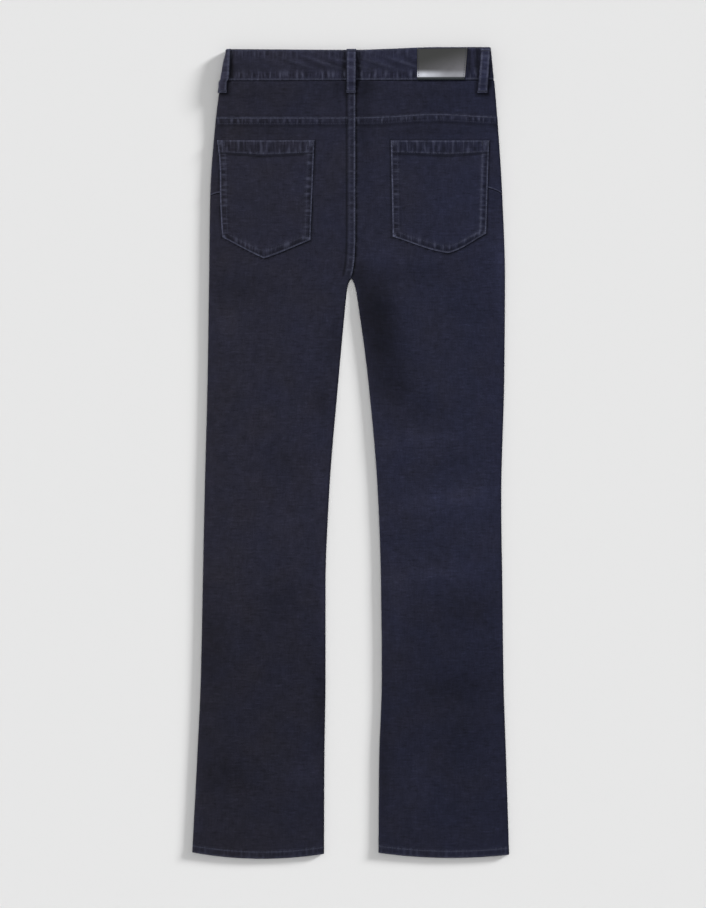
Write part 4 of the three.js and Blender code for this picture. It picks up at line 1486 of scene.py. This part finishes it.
def loop_rise(y, clear):
    """How far a loop's middle stands clear of the waistband at y."""
    foot, top, bow, foots = LOOP["foot"], LOOP["top"], LOOP["bow"], LOOP["foots"]
    up = ease((y - foot - foots) / (bow + 1)) * ease((top - foots - y) / bow)
    return clear * up


def loop_seat(side, x, y):
    yoke = top_of(side, x, np.minimum(y, 494)) + 0.5 * bell((y - 490) / 9)
    return mix(yoke, band_top(x), ease((y - 494.5) / 4))


def loop_relief(across, width):
    """Thickness of a folded strip from edge to edge: rounded sides and two sewn rows."""
    edge = np.minimum(across, 1 - across) * width
    height = LOOP_CLOTH - 0.7 * bell(edge / 0.7) - 0.28 * bell((edge - LOOP_ROW) / 0.8)
    return height - 0.12 * bell((across - 0.5) / 0.18), edge


def loop_shares(edge, y):
    foot, top = LOOP["foot"], LOOP["top"]
    ends = bell((y - foot - 1) / 1.4) + bell((top - y - 1) / 1.4)
    return {
        "wear": np.clip(0.8 * bell((edge - LOOP_ROW) / 1.0) + 0.55 * ends, 0, 1) + 0 * y,
        "pucker_x": 0 * y + 0 * edge,
        "pucker_y": 0.45 + 0 * y + 0 * edge,
        # Paler over all, with painted shade along the rounded sides.
        "tone": np.exp(0.42 - 1.5 * bell(edge / 0.9) + 0 * y),
    }


def loop_rows(step):
    return spaced([(LOOP["foot"], LOOP["top"] - 0.6, step)])


class JEANS_OT_belt_loops(JeansOperator, bpy.types.Operator):
    """Builds the five belt loops with their bar tacks"""
    bl_idname = "jeans.belt_loops"
    bl_label = "Belt loops"

    def execute(self, context):
        self.sewing = Sewing(self.sizes())
        self.arched("centre", "left", CENTRE_LOOP)
        self.arched("right", "right", RIGHT_LOOP)
        self.round_edge()
        for name, x in (("front_left", -96), ("front_right", 98)):
            self.pressed(name, x)
        piece = self.sewing.mesh("stitches_belt_loops")
        seat(piece, thread(self.colours()))
        return {"FINISHED"}

    def place(self, name, outer, inner, edge, y, rests):
        piece = cloth_mesh(f"cloth_belt_loop_{name}", outer, inner, loop_shares(edge, y))
        seat(piece, denim(self.colours()), [f"belt_loop_{name}"])

    def sew(self, outer, columns):
        for column in columns:
            line = outer[2:-2, column]
            self.sewing.row(line, facing(1, len(line)))

    def arched(self, name, side, loop):
        across, y = np.meshgrid(np.linspace(0, 1, 17), loop_rows(1.1))
        part = (y - LOOP["foot"]) / (LOOP["top"] - LOOP["foot"])
        left, right = (mix(loop["foot"][i], loop["top"][i], part) for i in (0, 1))
        height, edge = loop_relief(across, BACK_LOOP_WIDE)
        x = mix(left, right, across)
        flat_x = min(loop["foot"][0], loop["top"][0])
        under = loop_seat(side, flat_x, y) + GAP + loop_rise(y, LOOP["clear"])
        under = under + 0.15 * ripple(y, 17, 1.0)
        outer = np.stack((x, y, under + height), 2)
        inner = np.stack((x, y, under + 0.3 * bell(edge / 0.7)), 2)
        self.place(name, outer, inner, edge, y, ["waistband"])
        self.sew(outer, (3, 13))
        for row in (2, -3):
            middle = outer[row].mean(axis=0) + np.array((0, 0, 0.15))
            self.sewing.bartack(middle, (1, 0, 0), (0, 0, 1), 12.0)

    def round_edge(self):
        """The loop on the left edge bends round the fold with the waistband."""
        across, y = np.meshgrid(np.linspace(0, EDGE_LOOP_WIDE, 17), loop_rows(1.1))
        runs = across + mix(-7.3, -0.4, (y - LOOP["foot"]) / (LOOP["top"] - LOOP["foot"]))
        low_y = np.minimum(y, 494)
        on_band = ease((y - 494.5) / 4)
        yoke_radius = (top_of("left", outer_edge("left", y) + 3, low_y) - under_of(low_y)) / 2
        radius = mix(yoke_radius, BAND_HEIGHT / 2, on_band)
        centre_z = mix(under_of(low_y) + yoke_radius, WAIST_LIFT + BAND_HEIGHT / 2, on_band)
        start_x = outer_edge("left", y) + radius + BAND["inset_left"] * on_band
        height, edge = loop_relief(across / EDGE_LOOP_WIDE, EDGE_LOOP_WIDE)
        angle = np.maximum(runs, 0) / radius
        clear = GAP + loop_rise(y, 0.9) + 0.2
        faces = []
        for rise in (clear + height, clear + 0.3 * bell(edge / 0.7)):
            x = start_x - np.minimum(runs, 0) - (radius + rise) * np.sin(angle)
            faces.append(np.stack((x, y, centre_z + (radius + rise) * np.cos(angle)), 2))
        self.place("left", faces[0], faces[1], edge, y, ["waistband"])
        self.sew(faces[0], (3,))
        for row in (2, -3):
            for first, last in ((1, 5), (5, 9), (9, 13)):
                self.sewing.bartack_over(faces[0][row], first, last)

    def pressed(self, name, x0):
        """A front loop lies flat under the waistband."""
        across, y = np.meshgrid(np.linspace(0, 1, 9), loop_rows(2.5))
        height, edge = loop_relief(across, FRONT_LOOP_WIDE)
        seat_z = mix(under_of(np.minimum(y, 490)), WAIST_LIFT, ease((y - 484) / 6)) - GAP
        x = x0 + (across - 0.5) * FRONT_LOOP_WIDE
        outer = np.stack((x, y, seat_z - height), 2)
        inner = np.stack((x, y, seat_z + 0 * x), 2)
        self.place(name, outer, inner, edge, y, ["floor"])


# ------------------------------------------------------------------ patch


class JEANS_OT_patch(JeansOperator, bpy.types.Operator):
    """Builds the plain leather patch on the waistband"""
    bl_idname = "jeans.patch"
    bl_label = "Leather patch"

    def execute(self, context):
        rim, row = 4, 2
        right_rim, low_rim = PATCH_WIDE - rim, PATCH_TALL - rim
        columns = spaced([(0, rim, 0.5), (rim, right_rim, 2), (right_rim, PATCH_WIDE, 0.5)])
        rows = spaced([(0, rim, 0.5), (rim, low_rim, 1.6), (low_rim, PATCH_TALL, 0.5)])
        across, down = np.meshgrid(columns / PATCH_WIDE, rows / PATCH_TALL)
        right = PATCH["right"] - PATCH["lean"] * down
        x = mix(PATCH["left"], right, across)
        y = mix(PATCH["top"] + 0.012 * (x - 120), PATCH["bottom"], down)
        side_edge = np.minimum(across, 1 - across) * PATCH_WIDE
        edge = np.minimum(side_edge, np.minimum(down, 1 - down) * PATCH_TALL)
        seat_z = band_top(x) + GAP + 0.1
        height = PATCH["thick"] - 0.55 * bell(edge / 0.6) - 0.2 * bell((side_edge - row) / 0.7)
        height = height + 0.25 * bell((down - 0.45) / 0.4)
        outer = np.stack((x, y, seat_z + height), 2)
        inner = np.stack((x, y, seat_z), 2)
        # Painted reflection and highlight: paler towards the lower right, a bright streak low on the left,
        # and painted shade along the rolled lower edge.
        painted_highlight_streak = ease((down - 0.66) / 0.18) * mix(1.0, 0.30, ease((across - 0.1) / 0.55))
        shares = {
            "tone": ease((down + 0.45 * across - 0.35) / 0.95),
            "wear": painted_highlight_streak * 0.92,
            "pucker_x": ease((down - 0.895) / 0.03),
        }
        piece = cloth_mesh("leather_patch_piece", outer, inner, shares)
        seat(piece, patch_leather(), ["leather_patch"])
        sewing = Sewing(self.sizes())
        for share in (row / PATCH_WIDE, 1 - row / PATCH_WIDE):
            column = int(np.argmin(np.abs(across[0] - share)))
            line = outer[2:-2, column]
            sewing.row(line, facing(1, len(line)))
        stitches = sewing.mesh("stitches_patch")
        seat(stitches, thread(self.colours()))
        return {"FINISHED"}


# ------------------------------------------------------------------ seams and hems
DARTS = {
    "left": ((-186.6, 344.2), (-180.0, 347.6), (-171.0, 348.3)),
    "right": ((201.9, 346.6), (195.0, 351.6), (183.5, 354.4)),
}


class JEANS_OT_darts(JeansOperator, bpy.types.Operator):
    """Builds the small sewn tucks from the outer edges to the pockets"""
    bl_idname = "jeans.darts"
    bl_label = "Darts"

    def execute(self, context):
        for side, (start, bend, end) in DARTS.items():
            t = np.linspace(0, 1, 26)[:, None]
            start, bend, end = (np.array(p) for p in (start, bend, end))
            line = (1 - t) ** 2 * start + 2 * t * (1 - t) * bend + t ** 2 * end
            across, rows = np.meshgrid(np.linspace(-1, 1, 11), np.arange(26))
            x = line[rows, 0]
            y = line[rows, 1] + 1.7 * across
            rise = 0.62 * (1 - across ** 2) * np.where(across < 0, 1, 0.8)
            z = upper_face(side, x, y)
            outer = np.stack((x, y, z + rise + 0.06), 2)
            inner = np.stack((x, y, z - 0.4), 2)
            shares = {"wear": 0.5 * bell((across - 0.1) / 0.35),
                      # Painted shade along the lower side of the tuck.
                      "tone": np.exp(-2.0 * bell((across + 0.8) / 0.4)) * dye_and_painted_light_at(x, y)}
            piece = cloth_mesh(f"cloth_dart_{side}", outer, inner, shares)
            seat(piece, denim(self.colours()))
        return {"FINISHED"}


class JEANS_OT_seam_stitches(JeansOperator, bpy.types.Operator):
    """Sews the yoke, centre back and hem rows on the back"""
    bl_idname = "jeans.seam_stitches"
    bl_label = "Seam stitching"

    def execute(self, context):
        for side in SIDES:
            sewing = Sewing(self.sizes())
            for inset in (ROW_NEAR, ROW_FAR):
                row = back_section(side, PANEL_TOP_Y - inset, lambda x: yoke_seam_y(x) - inset, CLOTH)[0]
                sewing.row(row, section_normals(row), sunk=inset == ROW_FAR)
            hem = back_section(side, HEM_BASE + HEM_ROW, above_hem(side, HEM_ROW), HEM_CLOTH)[0]
            sewing.row(hem, section_normals(hem))
            if side == "left":
                self.centre(sewing)
            piece = sewing.mesh(f"stitches_back_seams_{side}")
            seat(piece, thread(self.colours()))
        return {"FINISHED"}

    def centre(self, sewing):
        y = np.linspace(YOKE_TOP_Y, CROTCH_Y + 6, 300)
        for inset in (ROW_NEAR, ROW_FAR):
            points = np.stack((centre_back(y) - inset, y), 1)
            sewing.on_top(points, lambda x, y: upper_face("left", x, y), sunk=inset == ROW_FAR)


FLY = {"wide": 38, "bend_y": 402, "bend": 32, "low_y": 240}
FRONT_POCKET = {"from": 158, "wide": 86, "deep": 62, "lean": 20}


class JEANS_OT_front_stitches(JeansOperator, bpy.types.Operator):
    """Sews the fly, the front hems and the curved pocket lines underneath"""
    bl_idname = "jeans.front_stitches"
    bl_label = "Front stitching"

    def execute(self, context):
        sewing = Sewing(self.sizes())
        t = np.linspace(0, 1, 60)
        for inset in (0, 6):
            bend = np.clip((t - 0.75) / 0.25, 0, 1)
            x = CENTRE_FRONT_X - (FLY["wide"] - inset) * np.cos(bend * math.pi / 2)
            round_y = FLY["bend_y"] - (FLY["bend"] - inset) * np.sin(bend * math.pi / 2)
            y = np.where(bend > 0, round_y, mix(FRONT_TOP_Y, FLY["bend_y"], t / 0.75))
            self.under(sewing, x, y)
        self.under(sewing, np.full(60, CENTRE_FRONT_X - 2.2), np.linspace(FRONT_TOP_Y, FLY["low_y"], 60))
        for side in SIDES:
            way = way_out(side)
            for inset in (2, 8):
                angle = t * math.pi / 2
                x = way * (FRONT_POCKET["from"] + inset * 0.2
                           - (FRONT_POCKET["wide"] + inset) * np.cos(angle) + FRONT_POCKET["lean"] * t)
                y = FRONT_TOP_Y - (FRONT_POCKET["deep"] + inset) * np.sin(angle)
                self.under(sewing, x, y)
            line = front_section(side, HEM_BASE + HEM_ROW, above_hem(side, HEM_ROW), HEM_CLOTH)[0]
            self.under(sewing, line[8:, 0], line[8:, 1])
        piece = sewing.mesh("stitches_front")
        seat(piece, thread(self.colours()))
        return {"FINISHED"}

    def under(self, sewing, x, y):
        z = under_of(y) + 0.18
        points = np.stack((x, y, z), 1)
        sewing.row(points, facing(-1, len(x)))


# ------------------------------------------------------------------ fly


def select_faces(piece, wanted):
    """Goes into edit mode with only the wanted faces selected."""
    bpy.ops.object.mode_set(mode="EDIT")
    bpy.ops.mesh.select_mode(type="FACE")
    bpy.ops.mesh.select_all(action="DESELECT")
    bpy.ops.object.mode_set(mode="OBJECT")
    for face in piece.data.polygons:
        face.select = wanted(face)
    bpy.ops.object.mode_set(mode="EDIT")


class JEANS_OT_fly(JeansOperator, bpy.types.Operator):
    """Builds the zip tape with its teeth and the button, and finishes the slider"""
    bl_idname = "jeans.fly"
    bl_label = "Fly"

    def execute(self, context):
        self.tape()
        self.teeth()
        self.button()
        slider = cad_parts["zip_slider"]
        set_finish(slider, gunmetal(self.colours()))
        return {"FINISHED"}

    def tape(self):
        across, y = np.meshgrid(np.linspace(-0.5, 0.5, 9), spaced([(TAPE_TOP_Y, TAPE_LOW_Y, 4)]))
        x = CENTRE_FRONT_X + across * 26
        base = under_of(y) + CLOTH + GAP
        upper = np.stack((x, y, base + TAPE_CLOTH), 2)
        piece = cloth_mesh("cloth_zip_tape", upper, np.stack((x, y, base), 2))
        seat(piece, tape_cloth(), ["zip_tape"])

    def teeth(self):
        """Two rows of teeth that mesh, each an array of small blocks across the tape's middle."""
        top = under_of(TAPE_TOP_Y) + CLOTH + GAP + TAPE_CLOTH
        rows = []
        for way in (-1, 1):
            bpy.ops.object.select_all(action="DESELECT")
            bpy.ops.mesh.primitive_cube_add(size=1, location=(
                (CENTRE_FRONT_X + way * 0.9) * MM, (486 + SHIFT_Y - 1.05 * (way > 0)) * MM,
                (top + 0.2) * MM))
            row = bpy.context.object
            row.scale = (3.0 * MM, 0.95 * MM, 0.4 * MM)
            bpy.ops.object.transform_apply(location=True, rotation=True, scale=True)
            array = row.modifiers.new("row", "ARRAY")
            array.count = 50
            array.use_relative_offset = False
            array.use_constant_offset = True
            array.constant_offset_displace = (0, -2.1 * MM, 0)
            bpy.ops.object.modifier_apply(modifier=array.name)
            rows.append(row)
        for row in rows:
            row.select_set(True)
        bpy.ops.object.join()
        piece = bpy.context.object
        piece.name = "zip_teeth"
        # The tape sinks towards the waist's lower end, and the teeth follow it.
        for vertex in piece.data.vertices:
            y = vertex.co.y / MM - SHIFT_Y
            vertex.co.z += (under_of(y) - under_of(TAPE_TOP_Y)) * MM
        seat(piece, gunmetal(self.colours()))

    def button(self):
        """A pressed disc with a raised rim, turned up from a cylinder, and its shank."""
        low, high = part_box("waist_button")
        middle = (low + high) / 2
        bpy.ops.object.select_all(action="DESELECT")
        bpy.ops.mesh.primitive_cylinder_add(
            vertices=48, radius=(high.x - low.x) / 2, depth=2.2 * MM,
            location=(middle.x, middle.y, low.z + 1.1 * MM))
        piece = bpy.context.object
        piece.name = "jeans_button"
        select_faces(piece, lambda face: face.normal.z < -0.9)
        bpy.ops.mesh.inset(thickness=1.5 * MM)
        bpy.ops.transform.translate(value=(0, 0, 0.55 * MM))
        bpy.ops.mesh.inset(thickness=3.6 * MM)
        bpy.ops.transform.translate(value=(0, 0, -0.3 * MM))
        bpy.ops.object.mode_set(mode="OBJECT")
        select_faces(piece, lambda face: face.normal.z > 0.9 and len(face.vertices) > 8)
        bpy.ops.mesh.inset(thickness=6.6 * MM)
        bpy.ops.mesh.extrude_region_move(TRANSFORM_OT_translate={"value": (0, 0, 2.6 * MM)})
        bpy.ops.object.mode_set(mode="OBJECT")
        bevel = piece.modifiers.new("rounded", "BEVEL")
        bevel.width = 0.22 * MM
        bevel.segments = 2
        bpy.ops.object.modifier_apply(modifier=bevel.name)
        bpy.ops.object.shade_smooth_by_angle(angle=math.radians(40))
        bpy.ops.object.transform_apply(location=True, rotation=True, scale=True)
        seat(piece, gunmetal(self.colours()), ["waist_button"])


# ------------------------------------------------------------------ panel and main


class JEANS_PT_build(bpy.types.Panel):
    """Lists the pieces in the order they are made"""
    bl_label = "Jeans"
    bl_idname = "JEANS_PT_build"
    bl_space_type = "VIEW_3D"
    bl_region_type = "UI"
    bl_category = "Jeans"

    def draw(self, context):
        for operator in OPERATORS:
            self.layout.operator(operator.bl_idname)


OPERATORS = (
    JEANS_OT_front_panels,
    JEANS_OT_darts,
    JEANS_OT_back_panels,
    JEANS_OT_yokes,
    JEANS_OT_waistband,
    JEANS_OT_pockets,
    JEANS_OT_belt_loops,
    JEANS_OT_patch,
    JEANS_OT_seam_stitches,
    JEANS_OT_front_stitches,
    JEANS_OT_fly,
    JEANS_OT_stage,
)
CLASSES = (JeansSizes, JeansColours, *OPERATORS, JEANS_PT_build)


def register():
    for cls in CLASSES:
        bpy.utils.register_class(cls)
    bpy.types.Scene.jeans_sizes = PointerProperty(type=JeansSizes)
    bpy.types.Scene.jeans_colours = PointerProperty(type=JeansColours)


def unregister():
    del bpy.types.Scene.jeans_colours
    del bpy.types.Scene.jeans_sizes
    for cls in reversed(CLASSES):
        bpy.utils.unregister_class(cls)


def main():
    register()
    for operator in OPERATORS:
        group, name = operator.bl_idname.split(".")
        getattr(getattr(bpy.ops, group), name)()


if __name__ == "__main__":
    main()
